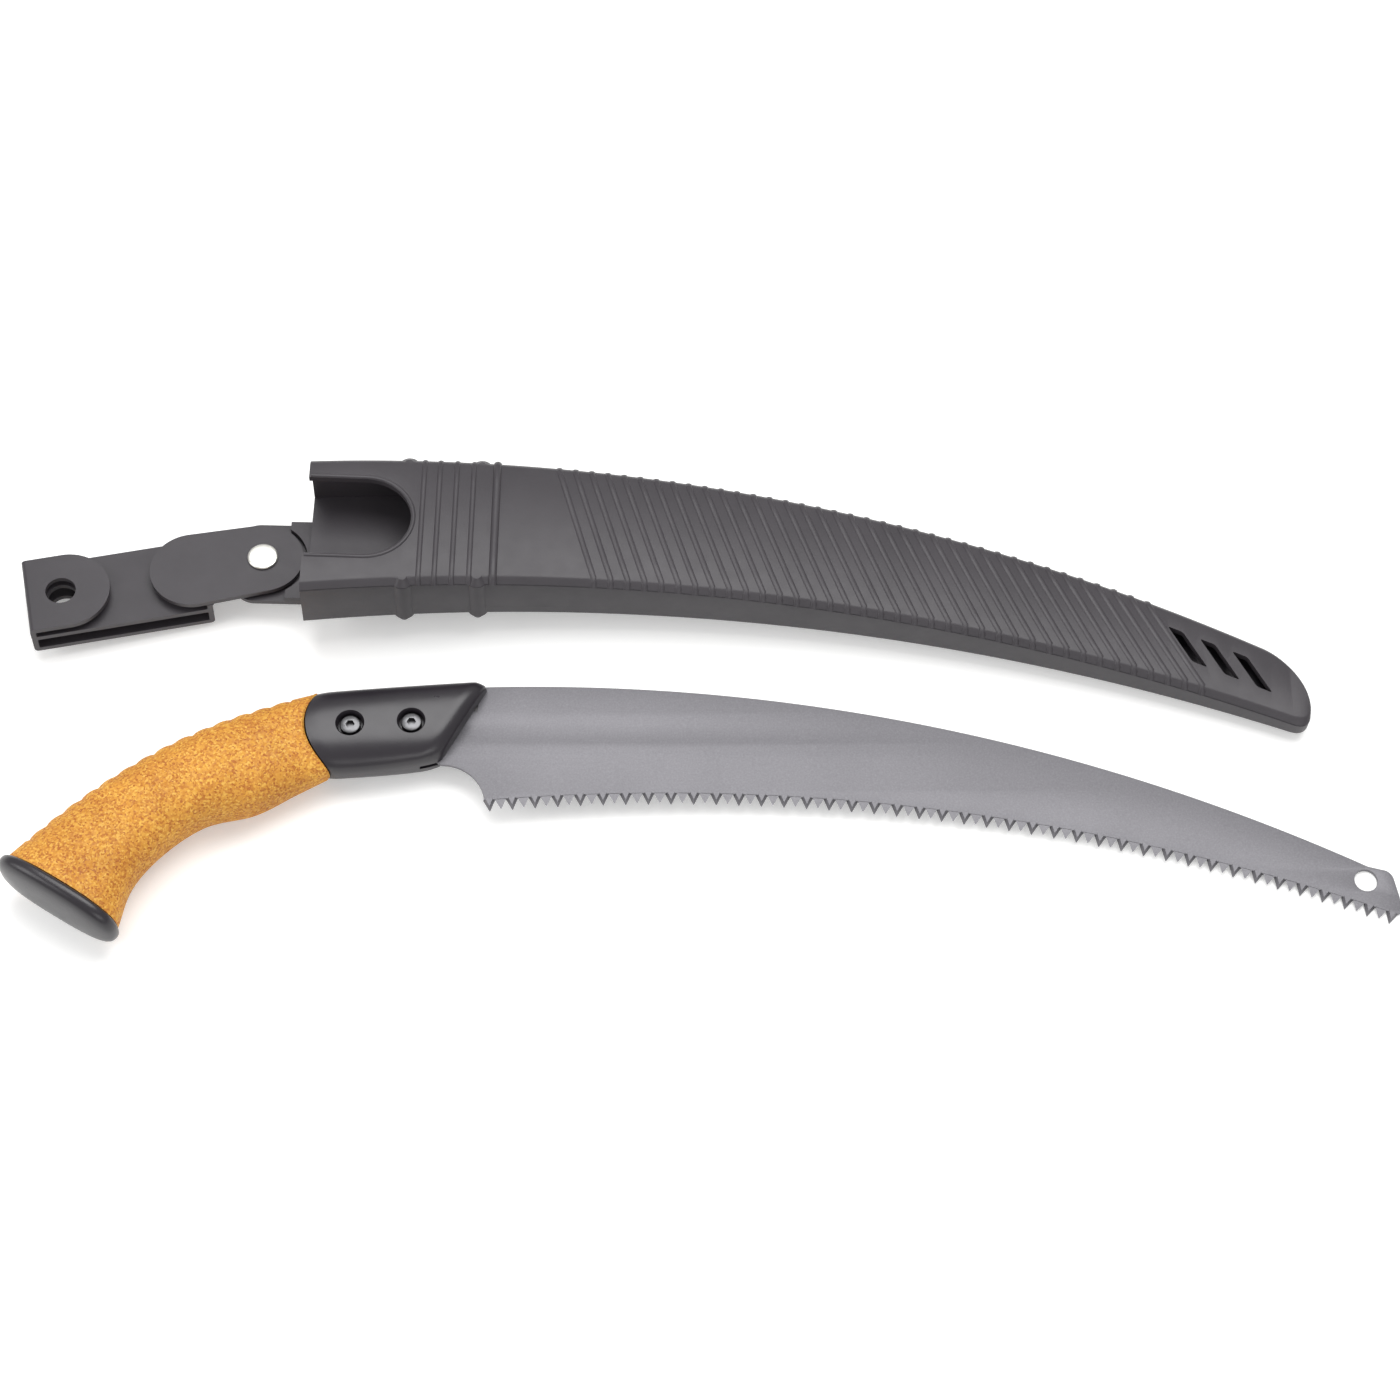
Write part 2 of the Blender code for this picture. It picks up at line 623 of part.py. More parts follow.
def shell_thick(x):
    share = (x - MOUTH) / (SCABBARD_END - MOUTH)
    return MOUTH_THICK - (MOUTH_THICK - TIP_THICK) * max(share, 0.0) ** TAPER_POWER


def shell_stations(end):
    """x of the rings, close together where the end is round."""
    straight = end - TIP_TOP_RADIUS
    stations = [MOUTH + (straight - MOUTH) * k / SHELL_STEPS for k in range(SHELL_STEPS + 1)]
    return stations + [straight + TIP_TOP_RADIUS * sin(pi / 2 * k / 6) for k in range(1, 7)]


def back_ring(x):
    top, bottom, thick = shell_top(x), shell_bottom(x), shell_thick(x)
    seam = thick - SHELL_CHAMFER - GAP
    edge = SHELL_CHAMFER
    return [Vector(point) for point in (
        (x, top, seam), (x, top, edge), (x, top - edge, 0),
        (x, bottom + edge, 0), (x, bottom, edge), (x, bottom, seam))]


def front_ring(x):
    top, bottom, thick = shell_top(x), shell_bottom(x), shell_thick(x)
    seam = thick - SHELL_CHAMFER
    return [Vector(point) for point in (
        (x, top, seam), (x, bottom, seam),
        (x, bottom + SHELL_CHAMFER, thick), (x, top - SHELL_CHAMFER, thick))]


def hollow_ring(x, shape_x):
    top, bottom = shell_arcs(shape_x)
    top -= SHELL_WALL
    bottom += SHELL_WALL
    high = shell_thick(shape_x) - SHELL_CHAMFER + (2 * MM)
    return [Vector(point) for point in (
        (x, top, high), (x, top, SHELL_WALL), (x, bottom, SHELL_WALL), (x, bottom, high))]


def box_loft(name, rings):
    """Skin a row of polygons and close both ends with one face each."""
    bm = bmesh.new()
    loops = [[bm.verts.new(point) for point in ring] for ring in rings]
    count = len(loops[0])
    for near, far in zip(loops, loops[1:]):
        for k in range(count):
            nxt = (k + 1) % count
            bm.faces.new((near[k], near[nxt], far[nxt], far[k]))
    bm.faces.new(loops[0])
    bm.faces.new(loops[-1])
    bmesh.ops.recalc_face_normals(bm, faces=bm.faces)
    mesh = bpy.data.meshes.new(name)
    bm.to_mesh(mesh)
    bm.free()
    return mesh


def post_places(inset):
    """A place at each post, inset from the outside of the side wall."""
    places = []
    for x in POST_X:
        places.append((x, shell_top(x) - inset))
        places.append((x, shell_bottom(x) + inset))
    return places


def post_tools(name, radius, low, high, inset=SCREW_INSET, head=None):
    """One round tool at each post, stepped out at its foot if it has a head."""
    tools = []
    for number, (x, y) in enumerate(post_places(inset), 1):
        if head:
            steps = [(head[0], low), (head[0], head[1]), (radius, head[1]), (radius, high)]
            mesh = stepped_pin(name, steps, POST_SIDES)
        else:
            mesh = rod(name, radius, low, high, POST_SIDES)
        mesh.transform(Matrix.Translation((x, y, 0)))
        tools.append(add_cutter(name + "_" + str(number), mesh))
    return tools


def hollow_tool():
    rings = [hollow_ring(MOUTH - 10 * MM, MOUTH)]
    stop = SCABBARD_END - TIP_WALL
    stations = [x for x in shell_stations(stop) if x < stop - TIP_TOP_RADIUS + 1e-9]
    rings += [hollow_ring(x, x) for x in stations]
    end = stop - TIP_BOTTOM_RADIUS
    rings.append(hollow_ring(end, end))
    bottom, top = rings[-1][2], rings[-1][1]
    last = hollow_ring(stop, stop)
    last[0].y = last[1].y = top.y - TIP_TOP_RADIUS * 0.8
    last[2].y = last[3].y = max(last[2].y, bottom.y)
    rings.append(last)
    return add_cutter("shell_hollow", box_loft("shell_hollow", rings))


def lug_outlines():
    """Outline of the whole lug, and of the step that is cut for the hanger's oval."""
    left = RIVET_X - TONGUE_REACH
    right = RIVET_X + LUG_ROOT
    low = RIVET_Y - LUG_WIDTH / 2
    high = RIVET_Y + LUG_WIDTH / 2
    corner = TONGUE_CORNER
    outline = (arc((left + corner, high - corner), corner, pi / 2, pi, 6)
               + arc((left + corner, low + corner), corner, pi, 3 * pi / 2, 6)
               + [(right, low), (right, high)])
    hollow = OVAL_RIVET_RADIUS + SHOULDER_CLEAR
    turn = radians(56)
    step = arc((RIVET_X, RIVET_Y), hollow, -turn, turn, 18)
    step += [(step[-1][0], high + 5 * MM), (left - 5 * MM, high + 5 * MM),
             (left - 5 * MM, low - 5 * MM), (step[0][0], low - 5 * MM)]
    return outline, step


def make_back_shell(frame):
    """Back wall and side walls, with the posts' lower halves and the lug for the hanger."""
    rings = [back_ring(x) for x in shell_stations(SCABBARD_END - 0.001 * MM)]
    shell = add_object("scabbard_back_shell", box_loft("scabbard_back_shell", rings))
    for tool in post_tools("back_post", POST_RADIUS, 0, POST_SPLIT - GAP, POST_INSET):
        boolean(shell, tool, "UNION")
    outline, step = lug_outlines()
    lug = add_cutter("lug", curve_plate("lug", [outline], LUG_THICK + 1 * MM, (1 * MM - LUG_THICK) / 2))
    boolean(shell, lug, "UNION")
    step_floor = -LUG_THICK + TONGUE_THICK
    step_high = SHELL_WALL + PAST
    step_tool = add_cutter("lug_step", curve_plate(
        "lug_step", [step], step_high - step_floor, (step_high + step_floor) / 2))
    rivet_bore = rod("lug_bore", RIVET_RADIUS + SHANK_GAP, -LUG_THICK - PAST, PAST)
    bore_tool = add_cutter("lug_bore", moved(rivet_bore, Matrix.Translation((RIVET_X, RIVET_Y, 0))))
    lug_end = add_cutter("lug_trim", curve_plate("lug_trim", [
        [(MOUTH - 40 * MM, -60 * MM), (MOUTH, -60 * MM), (MOUTH, 40 * MM), (MOUTH - 40 * MM, 40 * MM)]],
        4 * MM, 2 * MM))
    cut(shell, hollow_tool(), step_tool, bore_tool, lug_end)
    cut(shell, *post_tools("post_room", POST_RADIUS + GAP, POST_SPLIT - GAP, 40 * MM, POST_INSET))
    head = (SHELL_SCREW_HEAD_RADIUS + SHANK_GAP, SHELL_HEAD_DEPTH)
    cut(shell, *post_tools("back_screw_hole", SHELL_SCREW_RADIUS + SHANK_GAP, -1 * MM, POST_SPLIT + 1 * MM,
                           head=head))
    hole = rod("retainer_hole", RETAINER_RIVET_RADIUS + SHANK_GAP, -PAST, PAST, RETAINER_SIDES)
    cut(shell, add_cutter("retainer_hole", moved(hole, retainer_place())))
    return finish(shell, frame, "black_plastic", smooth=False)


def soft_corners(corners, cut_back, steps=4):
    """A closed outline with each corner rounded off over the same length of its sides."""
    outline = []
    for before, here, after in zip(corners[-1:] + corners[:-1], corners, corners[1:] + corners[:1]):
        start = here + (before - here).normalized() * cut_back
        end = here + (after - here).normalized() * cut_back
        for k in range(steps + 1):
            t = k / steps
            outline.append(tuple(start * (1 - t) ** 2 + here * (2 * t * (1 - t)) + end * t ** 2))
    return outline


def drain_outline(x, y):
    middle = Vector((x, y))
    down = Vector((sin(DRAIN_LEAN), -cos(DRAIN_LEAN))) * (DRAIN_LENGTH / 2)
    across = Vector((cos(DRAIN_SLOPE), -sin(DRAIN_SLOPE))) * (DRAIN_WIDTH / 2)
    return soft_corners([middle - down - across, middle - down + across,
                         middle + down + across, middle + down - across], DRAIN_CORNER)


def make_front_shell(frame):
    """Front wall with the thumb notch, the drain slots and the posts' upper halves."""
    rings = [front_ring(x) for x in shell_stations(SCABBARD_END - 0.001 * MM)]
    shell = add_object("scabbard_front_shell", box_loft("scabbard_front_shell", rings))
    for number, (x, y) in enumerate(post_places(POST_INSET), 1):
        top = shell_thick(x)
        mesh = stepped_pin("front_post", [(POST_RADIUS, POST_SPLIT), (POST_RADIUS, top - SHELL_CHAMFER),
                                          (POST_RADIUS - SHELL_CHAMFER, top)], POST_SIDES)
        tool = add_cutter("front_post_" + str(number), moved(mesh, Matrix.Translation((x, y, 0))))
        boolean(shell, tool, "UNION")
    rings = [hollow_ring(x, x) for x in (POST_X[0] - 10 * MM, POST_X[0], POST_X[1], POST_X[1] + 10 * MM)]
    for ring in rings:
        ring[0].z = ring[3].z = shell_thick(ring[0].x) - SHELL_CHAMFER
    post_trim = add_cutter("post_trim", box_loft("post_trim", rings))
    radius = NOTCH_WIDTH / 2
    notch = slot_outline((MOUTH - 30 * MM, NOTCH_Y), (MOUTH + NOTCH_LENGTH - radius, NOTCH_Y), radius)
    tools = [add_cutter("thumb_notch", curve_plate("thumb_notch", [notch], 30 * MM, 25 * MM))]
    for number, (x, y) in enumerate(DRAIN_SLOTS, 1):
        mesh = curve_plate("drain_slot", [drain_outline(x, y)], 2 * PAST, SHELL_WALL + PAST + GAP)
        tools.append(add_cutter("drain_slot_" + str(number), mesh))
    cut(shell, post_trim, *tools)
    hole = SHELL_SCREW_RADIUS + SHANK_GAP
    cut(shell, *post_tools("front_screw_hole", hole, POST_SPLIT - 1 * MM, SHELL_SCREW_TOP + 1 * MM))
    return finish(shell, frame, "black_plastic", smooth=False)


def make_shell_screws(frame):
    head_top = SHELL_HEAD_DEPTH - GAP
    steps = [(SHELL_SCREW_HEAD_RADIUS, head_top - SHELL_SCREW_HEAD), (SHELL_SCREW_HEAD_RADIUS, head_top),
             (SHELL_SCREW_RADIUS, head_top), (SHELL_SCREW_RADIUS, SHELL_SCREW_TOP)]
    for number, (x, y) in enumerate(post_places(SCREW_INSET), 1):
        mesh = stepped_pin("shell_screw", steps, sides=20)
        screw = add_object("shell_screw_" + str(number), moved(mesh, Matrix.Translation((x, y, 0))))
        finish(screw, frame, "bolt_steel")


# ---------------------------------------------------------------- retainer

def retainer_place():
    """The retainer's rivet, on the scabbard's middle line."""
    middle = (shell_top(RETAINER_X) + shell_bottom(RETAINER_X)) / 2
    return Matrix.Translation((RETAINER_X, middle, 0))


def make_retainer(frame):
    """A bowed leaf spring that presses on the ferrule or the blade when the saw is put away."""
    floor = SHELL_WALL + GAP
    radius = RETAINER_RIVET_RADIUS + SHANK_GAP
    steps = 16
    half = RETAINER_WIDTH / 2
    rings = []
    for k in range(steps + 1):
        share = k / steps
        low = floor + RETAINER_RISE * sin(pi * max(0.0, (share - 0.3) / 0.7)) ** 2
        high = low + RETAINER_THICK
        x = -5 * MM + RETAINER_LENGTH * share
        rings.append([Vector(point) for point in ((x, -half, low), (x, half, low), (x, half, high), (x, -half, high))])
    mesh = box_loft("blade_retainer", rings)
    leaf = add_object("blade_retainer", moved(mesh, retainer_place()))
    hole = rod("leaf_hole", radius, 0, PAST, RETAINER_SIDES)
    cut(leaf, add_cutter("leaf_hole", moved(hole, retainer_place())))
    finish(leaf, frame, "spring_steel", smooth=False)
    top = floor + RETAINER_THICK + GAP
    low = GAP
    rivet_steps = [(RETAINER_RIVET_RADIUS, low), (RETAINER_RIVET_RADIUS, top),
                   (RETAINER_RIVET_HEAD_RADIUS, top), (RETAINER_RIVET_HEAD_RADIUS * 0.7, top + RETAINER_RIVET_HEAD)]
    rivet_mesh = stepped_pin("retainer_rivet", rivet_steps, RETAINER_SIDES)
    rivet = add_object("retainer_rivet", moved(rivet_mesh, retainer_place()))
    finish(rivet, frame, "rivet_metal")


# ---------------------------------------------------------------- rivet and hanger

def stack_heights():
    """Heights of the pieces on the rivet, from the lug's tongue up."""
    tongue = -LUG_THICK + TONGUE_THICK
    spacer = tongue + SWIVEL_GAP
    oval = spacer + SPACER_THICK + SWIVEL_GAP
    head = oval + STRAP_THICK + SWIVEL_GAP
    return {"tongue": tongue, "spacer": spacer, "oval": oval, "head": head}


def make_rivet(frame):
    """Shouldered rivet with its spacer washer and the burr that it is closed over."""
    heights = stack_heights()
    place = Matrix.Translation((RIVET_X, RIVET_Y, 0))
    burr_top = -LUG_THICK - GAP
    burr_low = burr_top - BURR_THICK
    tail = burr_low - GAP
    rivet = add_object("hanger_rivet", moved(stepped_pin("hanger_rivet", [
        (RIVET_TAIL_RADIUS * 0.8, tail - 0.9 * MM), (RIVET_TAIL_RADIUS, tail - 0.4 * MM), (RIVET_TAIL_RADIUS, tail),
        (RIVET_RADIUS, tail), (RIVET_RADIUS, heights["head"]), (RIVET_HEAD_RADIUS, heights["head"]),
        (RIVET_HEAD_RADIUS, heights["head"] + RIVET_HEAD * 0.6),
        (RIVET_HEAD_RADIUS - 0.6 * MM, heights["head"] + RIVET_HEAD)], 40), place))
    finish(rivet, frame, "rivet_metal")
    for name, radius, low, high, finish_name in (
            ("swivel_washer", SPACER_RADIUS, heights["spacer"], heights["spacer"] + SPACER_THICK, "gloss_plastic"),
            ("rivet_burr", BURR_RADIUS, burr_low, burr_top, "rivet_metal")):
        rings = [circle((RIVET_X, RIVET_Y), radius, 36), circle((RIVET_X, RIVET_Y), RIVET_RADIUS + SHANK_GAP, 36)]
        washer = add_object(name, curve_plate(name, rings, high - low, (high + low) / 2))
        finish(washer, frame, finish_name)


def hanger_profile(top):
    """Side view of the strap: loop, flap over its left end and bridge over its right end."""
    t = STRAP_THICK
    upper_floor = top - t
    middle_top = upper_floor - HOOK_GAP
    slot_top = middle_top - t
    slot_floor = slot_top - BELT_SLOT
    bottom = slot_floor - t
    right = LOOP_START
    left = LOOP_START - LOOP_LENGTH
    flap_end = left + FLAP_LENGTH
    bridge_start = -OVAL_SPAN - STRAP_WIDTH / 2
    outer = 1.6 * MM
    edge = arc((left + outer, bottom + outer), outer, 3 * pi / 2, pi, 4)
    edge += arc((left + outer, top - outer), outer, pi, pi / 2, 4)
    edge += [(flap_end, top), (flap_end, upper_floor), (left + t, upper_floor), (left + t, middle_top),
             (right - t, middle_top), (right - t, upper_floor), (bridge_start, upper_floor),
             (bridge_start, top), (OVAL_RIVET_RADIUS, top), (OVAL_RIVET_RADIUS, upper_floor),
             (right, upper_floor)]
    edge += arc((right - outer, bottom + outer), outer, 0, -pi / 2, 4)
    slot = [(left + t, slot_floor), (right - t, slot_floor), (right - t, slot_top), (left + t, slot_top)]
    return edge, slot


def rounding_tool(name, outline, low, high):
    return add_cutter(name, curve_plate(name, [outline], high - low, (high + low) / 2))


def make_hanger(frame):
    """Moulded belt hanger in a frame of its own, with the rivet's axis at its origin."""
    top = stack_heights()["oval"] + STRAP_THICK
    edge, slot = hanger_profile(top)
    stand_up = Matrix.Rotation(pi / 2, 4, "X")
    strap = add_object("belt_hanger", moved(curve_plate("belt_hanger", [edge, slot], STRAP_WIDTH), stand_up))
    half = STRAP_WIDTH / 2
    left = LOOP_START - LOOP_LENGTH
    flap_low = top - STRAP_THICK - GAP
    far = 60 * MM
    # each trim is a block with the layer's plan cut out of it
    flap_plan = ([(left - 5 * MM, half + 1 * MM), (left - 5 * MM, -half - 1 * MM)]
                 + arc((left + FLAP_LENGTH - half, 0), half, -pi / 2, pi / 2, 16))
    flap_block = [(left + 2 * MM, -far), (LOOP_START - LOOP_LENGTH * 0.48, -far),
                  (LOOP_START - LOOP_LENGTH * 0.48, far), (left + 2 * MM, far)]
    oval_plan = (arc((0, 0), OVAL_RIVET_RADIUS, -pi / 2, pi / 2, 16)
                 + arc((-OVAL_SPAN, 0), half, pi / 2, 3 * pi / 2, 16))
    oval_block = [(LOOP_START - LOOP_LENGTH * 0.47, -far), (far, -far), (far, far),
                  (LOOP_START - LOOP_LENGTH * 0.47, far)]
    trims = []
    for name, plan, block in (("flap", flap_plan, flap_block), ("oval", oval_plan, oval_block)):
        keep = rounding_tool(name + "_keep", plan, flap_low - 1 * MM, top + 3 * MM)
        trim = rounding_tool(name + "_trim", block, flap_low, top + 2 * MM)
        cut(trim, keep)
        trims.append(trim)
    hole_x = left + FLAP_HOLE_FROM_END
    loop_low = top - 4 * STRAP_THICK - BELT_SLOT - HOOK_GAP - PAST
    flap_hole = rod("flap_hole", FLAP_HOLE_RADIUS, loop_low, PAST, 32)
    pivot = rod("pivot_hole", RIVET_RADIUS + SHANK_GAP, -PAST, PAST)
    cut(strap, *trims,
        add_cutter("flap_hole", moved(flap_hole, Matrix.Translation((hole_x, 0, 0)))),
        add_cutter("pivot_hole", pivot))
    return finish(strap, frame, "black_plastic", smooth=False)


# ---------------------------------------------------------------- layout

def family(frame):
    return [obj for obj in PARTS.objects if obj.type == "MESH" and frame in ancestors(obj)]


def ancestors(obj):
    chain = []
    while obj.parent:
        obj = obj.parent
        chain.append(obj)
    return chain


def world_points(objects):
    bpy.context.view_layer.update()
    return [obj.matrix_world @ vert.co for obj in objects for vert in obj.data.vertices]


def settle(frame):
    """Tip a frame onto the facet of its pieces' convex hull that lies under their middle."""
    pieces = family(frame)
    bm = bmesh.new()
    for point in world_points(pieces):
        bm.verts.new(point)
    hull = bmesh.ops.convex_hull(bm, input=bm.verts)
    faces = [face for face in hull["geom"] if isinstance(face, bmesh.types.BMFace)]
    areas = [(obj.matrix_world @ poly.center, poly.area) for obj in pieces for poly in obj.data.polygons]
    total = sum(area for _, area in areas)
    middle = sum((point * area for point, area in areas), Vector()) / total
    for face in faces:
        normal = face.normal.copy()
        if normal.dot(face.calc_center_median() - middle) < 0:
            normal.negate()
        if normal.z < -0.5 and under(face, middle):
            turn = normal.rotation_difference(Vector((0, 0, -1)))
            place = Matrix.Translation(middle)
            frame.matrix_world = place @ turn.to_matrix().to_4x4() @ place.inverted() @ frame.matrix_world
            break
    bm.free()
    bpy.context.view_layer.update()
    frame.location.z -= min(point.z for point in world_points(pieces))


def under(face, point):
    """Whether a face's plan view holds a point."""
    corners = [vert.co for vert in face.verts]
    turns = []
    for a, b in zip(corners, corners[1:] + corners[:1]):
        turns.append((b.x - a.x) * (point.y - a.y) - (b.y - a.y) * (point.x - a.x))
    return all(turn >= 0 for turn in turns) or all(turn <= 0 for turn in turns)


def centre_layout(frames):
    """Put the middle of the whole layout's footprint on the origin."""
    points = world_points([obj for obj in PARTS.objects if obj.type == "MESH"])
    middle_x = (min(p.x for p in points) + max(p.x for p in points)) / 2
    middle_y = (min(p.y for p in points) + max(p.y for p in points)) / 2
    for frame in frames:
        frame.location.x -= middle_x
        frame.location.y -= middle_y
    bpy.context.view_layer.update()


def build():
    saw = new_frame("saw_frame")
    saw.location = (SAW_PLACE[0], SAW_PLACE[1], 0)
    saw.rotation_euler.z = SAW_PLACE[2]
    make_blade(saw)
    make_ferrule(saw)
    make_grip(saw)
    make_butt_cap(saw)
    make_cap_screw(saw)
    make_bolts(saw)

    scabbard = new_frame("scabbard_frame")
    scabbard.location = (SCABBARD_PLACE[0], SCABBARD_PLACE[1], 0)
    scabbard.rotation_euler.z = SCABBARD_PLACE[2]
    make_back_shell(scabbard)
    make_front_shell(scabbard)
    make_shell_screws(scabbard)
    make_retainer(scabbard)
    make_rivet(scabbard)
    hanger = new_frame("hanger_frame", scabbard)
    hanger.location = (RIVET_X, RIVET_Y, 0)
    hanger.rotation_euler.z = HANGER_TURN
    make_hanger(hanger)

    bpy.context.view_layer.update()
    settle(saw)
    settle(scabbard)
    centre_layout([saw, scabbard])


clear_scene()
PARTS = new_collection("pruning_saw")
CUTTERS = new_collection("cutters")
build()
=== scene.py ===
# Looks for the curved pruning saw, its ribbed scabbard and the swivelling belt hanger.
import json
from math import atan2, cos, pi, radians, sin, sqrt

import bmesh
import bpy
from mathutils import Matrix, Vector


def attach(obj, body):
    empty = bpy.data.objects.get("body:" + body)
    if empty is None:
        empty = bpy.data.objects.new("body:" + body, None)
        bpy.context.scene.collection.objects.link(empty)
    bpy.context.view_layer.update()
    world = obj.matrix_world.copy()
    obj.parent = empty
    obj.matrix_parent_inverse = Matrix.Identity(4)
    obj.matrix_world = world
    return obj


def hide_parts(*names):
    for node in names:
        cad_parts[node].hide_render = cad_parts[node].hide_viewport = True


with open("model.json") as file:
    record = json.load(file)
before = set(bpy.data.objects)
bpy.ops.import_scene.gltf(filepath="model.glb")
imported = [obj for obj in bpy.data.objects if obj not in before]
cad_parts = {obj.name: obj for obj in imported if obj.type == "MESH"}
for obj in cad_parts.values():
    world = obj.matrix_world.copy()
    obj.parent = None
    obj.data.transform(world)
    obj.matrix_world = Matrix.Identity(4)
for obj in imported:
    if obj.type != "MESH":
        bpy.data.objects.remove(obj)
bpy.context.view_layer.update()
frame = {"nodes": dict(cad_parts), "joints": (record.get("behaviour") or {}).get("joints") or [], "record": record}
record = frame["record"]
mm = 0.001


rivetSpot = (-28 * mm, -14.5 * mm)  # in the scabbard's own plane
rivetBore = 3.25 * mm
lugTop = -2.6 * mm  # the face that the hanger swings on
hangerTurn = radians(13)
boltSpots = {"front": (0, 0), "rear": (-22.7 * mm, -1 * mm)}  # in the saw's own plane


def archY(x, peak, radius):  # an arc that bulges up to its peak
    return peak[1] - radius + sqrt(radius ** 2 - (x - peak[0]) ** 2)


shell = {"mouth": -10 * mm, "end": 371.5 * mm,
         "topRadius": 730.2 * mm, "topPeak": (45 * mm, 18.2 * mm),
         "bottomRadius": 804.4 * mm, "bottomPeak": (93 * mm, -38.1 * mm),
         "mouthThick": 25 * mm, "tipThick": 10 * mm, "taper": 1.35, "wall": 2.4 * mm, "chamfer": 2.45 * mm,
         "tipTop": 15 * mm, "tipBottom": 7 * mm, "steps": 120, "seamGap": 0.25 * mm,
         "notchWidth": 35.5 * mm, "notchLength": 40 * mm, "notchY": -11 * mm,
         "mountX": 150 * mm}  # x of the mount that the scabbard's direction is read from


def shellArcs(x):
    top = archY(x, shell["topPeak"], shell["topRadius"])
    return top, archY(x, shell["bottomPeak"], shell["bottomRadius"])


def nodePoints(name):
    obj = frame["nodes"][name]
    return [obj.matrix_world @ vert.co for vert in obj.data.vertices]


def middleOf(points):
    return sum(points, Vector()) / len(points)


def axesMatrix(origin, along, up):
    up = up.normalized()
    along = (along - up * along.dot(up)).normalized()
    side = up.cross(along)
    matrix = Matrix((along, side, up)).transposed().to_4x4()
    matrix.translation = origin
    return matrix


def findSaw():
    rearX, rearY = boltSpots["rear"]
    front = middleOf(nodePoints("bolt_front"))
    rear = middleOf(nodePoints("bolt_rear"))
    node = frame["nodes"]["blade"]
    flat = max(node.data.polygons, key=lambda face: face.area)  # lies in the blade's plane
    up = (node.matrix_world.to_3x3() @ flat.normal).normalized()
    up = up if up.z > 0 else -up
    middle = middleOf(nodePoints("blade"))
    back = Matrix.Rotation(-atan2(-rearY, -rearX), 3, up)
    origin = front - up * (front - middle).dot(up)
    return axesMatrix(origin, back @ (front - rear), up)


def findScabbard():
    rivetX, rivetY = rivetSpot
    backX = shell["mountX"]
    backY = sum(shellArcs(backX)) / 2
    swivel = next(joint for joint in frame["joints"] if joint["name"] == "hanger_swivel")
    back = next(mount for mount in record["mounts"] if mount["name"] == "scabbard_back")
    pivot, up = Vector(swivel["pos_m"]), Vector(swivel["axis"]).normalized()
    reach = Vector(back["pos_m"]) - pivot
    turn = Matrix.Rotation(-atan2(backY - rivetY, backX - rivetX), 3, up)
    matrix = axesMatrix(pivot, turn @ reach, up)
    return matrix @ Matrix.Translation((-rivetX, -rivetY, 0)), matrix


sawMatrix = findSaw()
scabbardMatrix, pivotMatrix = findScabbard()
hangerMatrix = pivotMatrix @ Matrix.Rotation(hangerTurn, 4, "Z")
print("frame read")


def newMaterial(name, colour, roughness, metallic=0.0):
    mat = bpy.data.materials.new(name)
    mat.use_nodes = True
    shader = mat.node_tree.nodes["Principled BSDF"]
    shader.inputs["Base Color"].default_value = (*colour, 1)
    shader.inputs["Roughness"].default_value = roughness
    shader.inputs["Metallic"].default_value = metallic
    return mat, mat.node_tree, shader


def noiseNode(tree, scale, detail=4.0):
    coords = tree.nodes.new("ShaderNodeTexCoord")
    noise = tree.nodes.new("ShaderNodeTexNoise")
    noise.inputs["Scale"].default_value = scale
    noise.inputs["Detail"].default_value = detail
    noise.inputs["Roughness"].default_value = 0.6
    tree.links.new(coords.outputs["Object"], noise.inputs["Vector"])
    return noise


def rampNode(tree, source, stops):
    ramp = tree.nodes.new("ShaderNodeValToRGB")
    elements = ramp.color_ramp.elements
    while len(elements) < len(stops):
        elements.new(0.5)
    for element, (place, colour) in zip(elements, stops):
        element.position = place
        element.color = (*colour, 1)
    tree.links.new(source, ramp.inputs["Fac"])
    return ramp


def addBump(tree, shader, source, strength, distance):
    bump = tree.nodes.new("ShaderNodeBump")
    bump.inputs["Strength"].default_value = strength
    bump.inputs["Distance"].default_value = distance
    tree.links.new(source, bump.inputs["Height"])
    tree.links.new(bump.outputs["Normal"], shader.inputs["Normal"])


def roughnessFrom(tree, shader, source, low, high):
    spread = tree.nodes.new("ShaderNodeMapRange")
    spread.inputs["To Min"].default_value = low
    spread.inputs["To Max"].default_value = high
    tree.links.new(source, spread.inputs["Value"])
    tree.links.new(spread.outputs["Result"], shader.inputs["Roughness"])


def plasticMaterial(name, dark, light, roughLow, roughHigh, grain):
    mat, tree, shader = newMaterial(name, light, roughHigh)
    cloud = noiseNode(tree, 38)
    ramp = rampNode(tree, cloud.outputs["Fac"], [(0.3, dark), (0.7, light)])
    tree.links.new(ramp.outputs["Color"], shader.inputs["Base Color"])
    fine = noiseNode(tree, grain, 3)
    addBump(tree, shader, fine.outputs["Fac"], 0.35, 0.00006)
    scuff = noiseNode(tree, 160, 5)
    roughnessFrom(tree, shader, scuff.outputs["Fac"], roughLow, roughHigh)
    return mat


def bladeMaterial():
    mat, tree, shader = newMaterial("coatedSteel", (0.24, 0.235, 0.25), 0.45, 0.35)
    speck = noiseNode(tree, 1500, 2)
    ramp = rampNode(tree, speck.outputs["Fac"], [
        (0.25, (0.138, 0.134, 0.146)), (0.55, (0.160, 0.156, 0.169)), (0.8, (0.186, 0.182, 0.196))])
    tree.links.new(ramp.outputs["Color"], shader.inputs["Base Color"])
    addBump(tree, shader, speck.outputs["Fac"], 0.3, 0.00005)
    cloud = noiseNode(tree, 25)
    roughnessFrom(tree, shader, cloud.outputs["Fac"], 0.4, 0.5)
    return mat


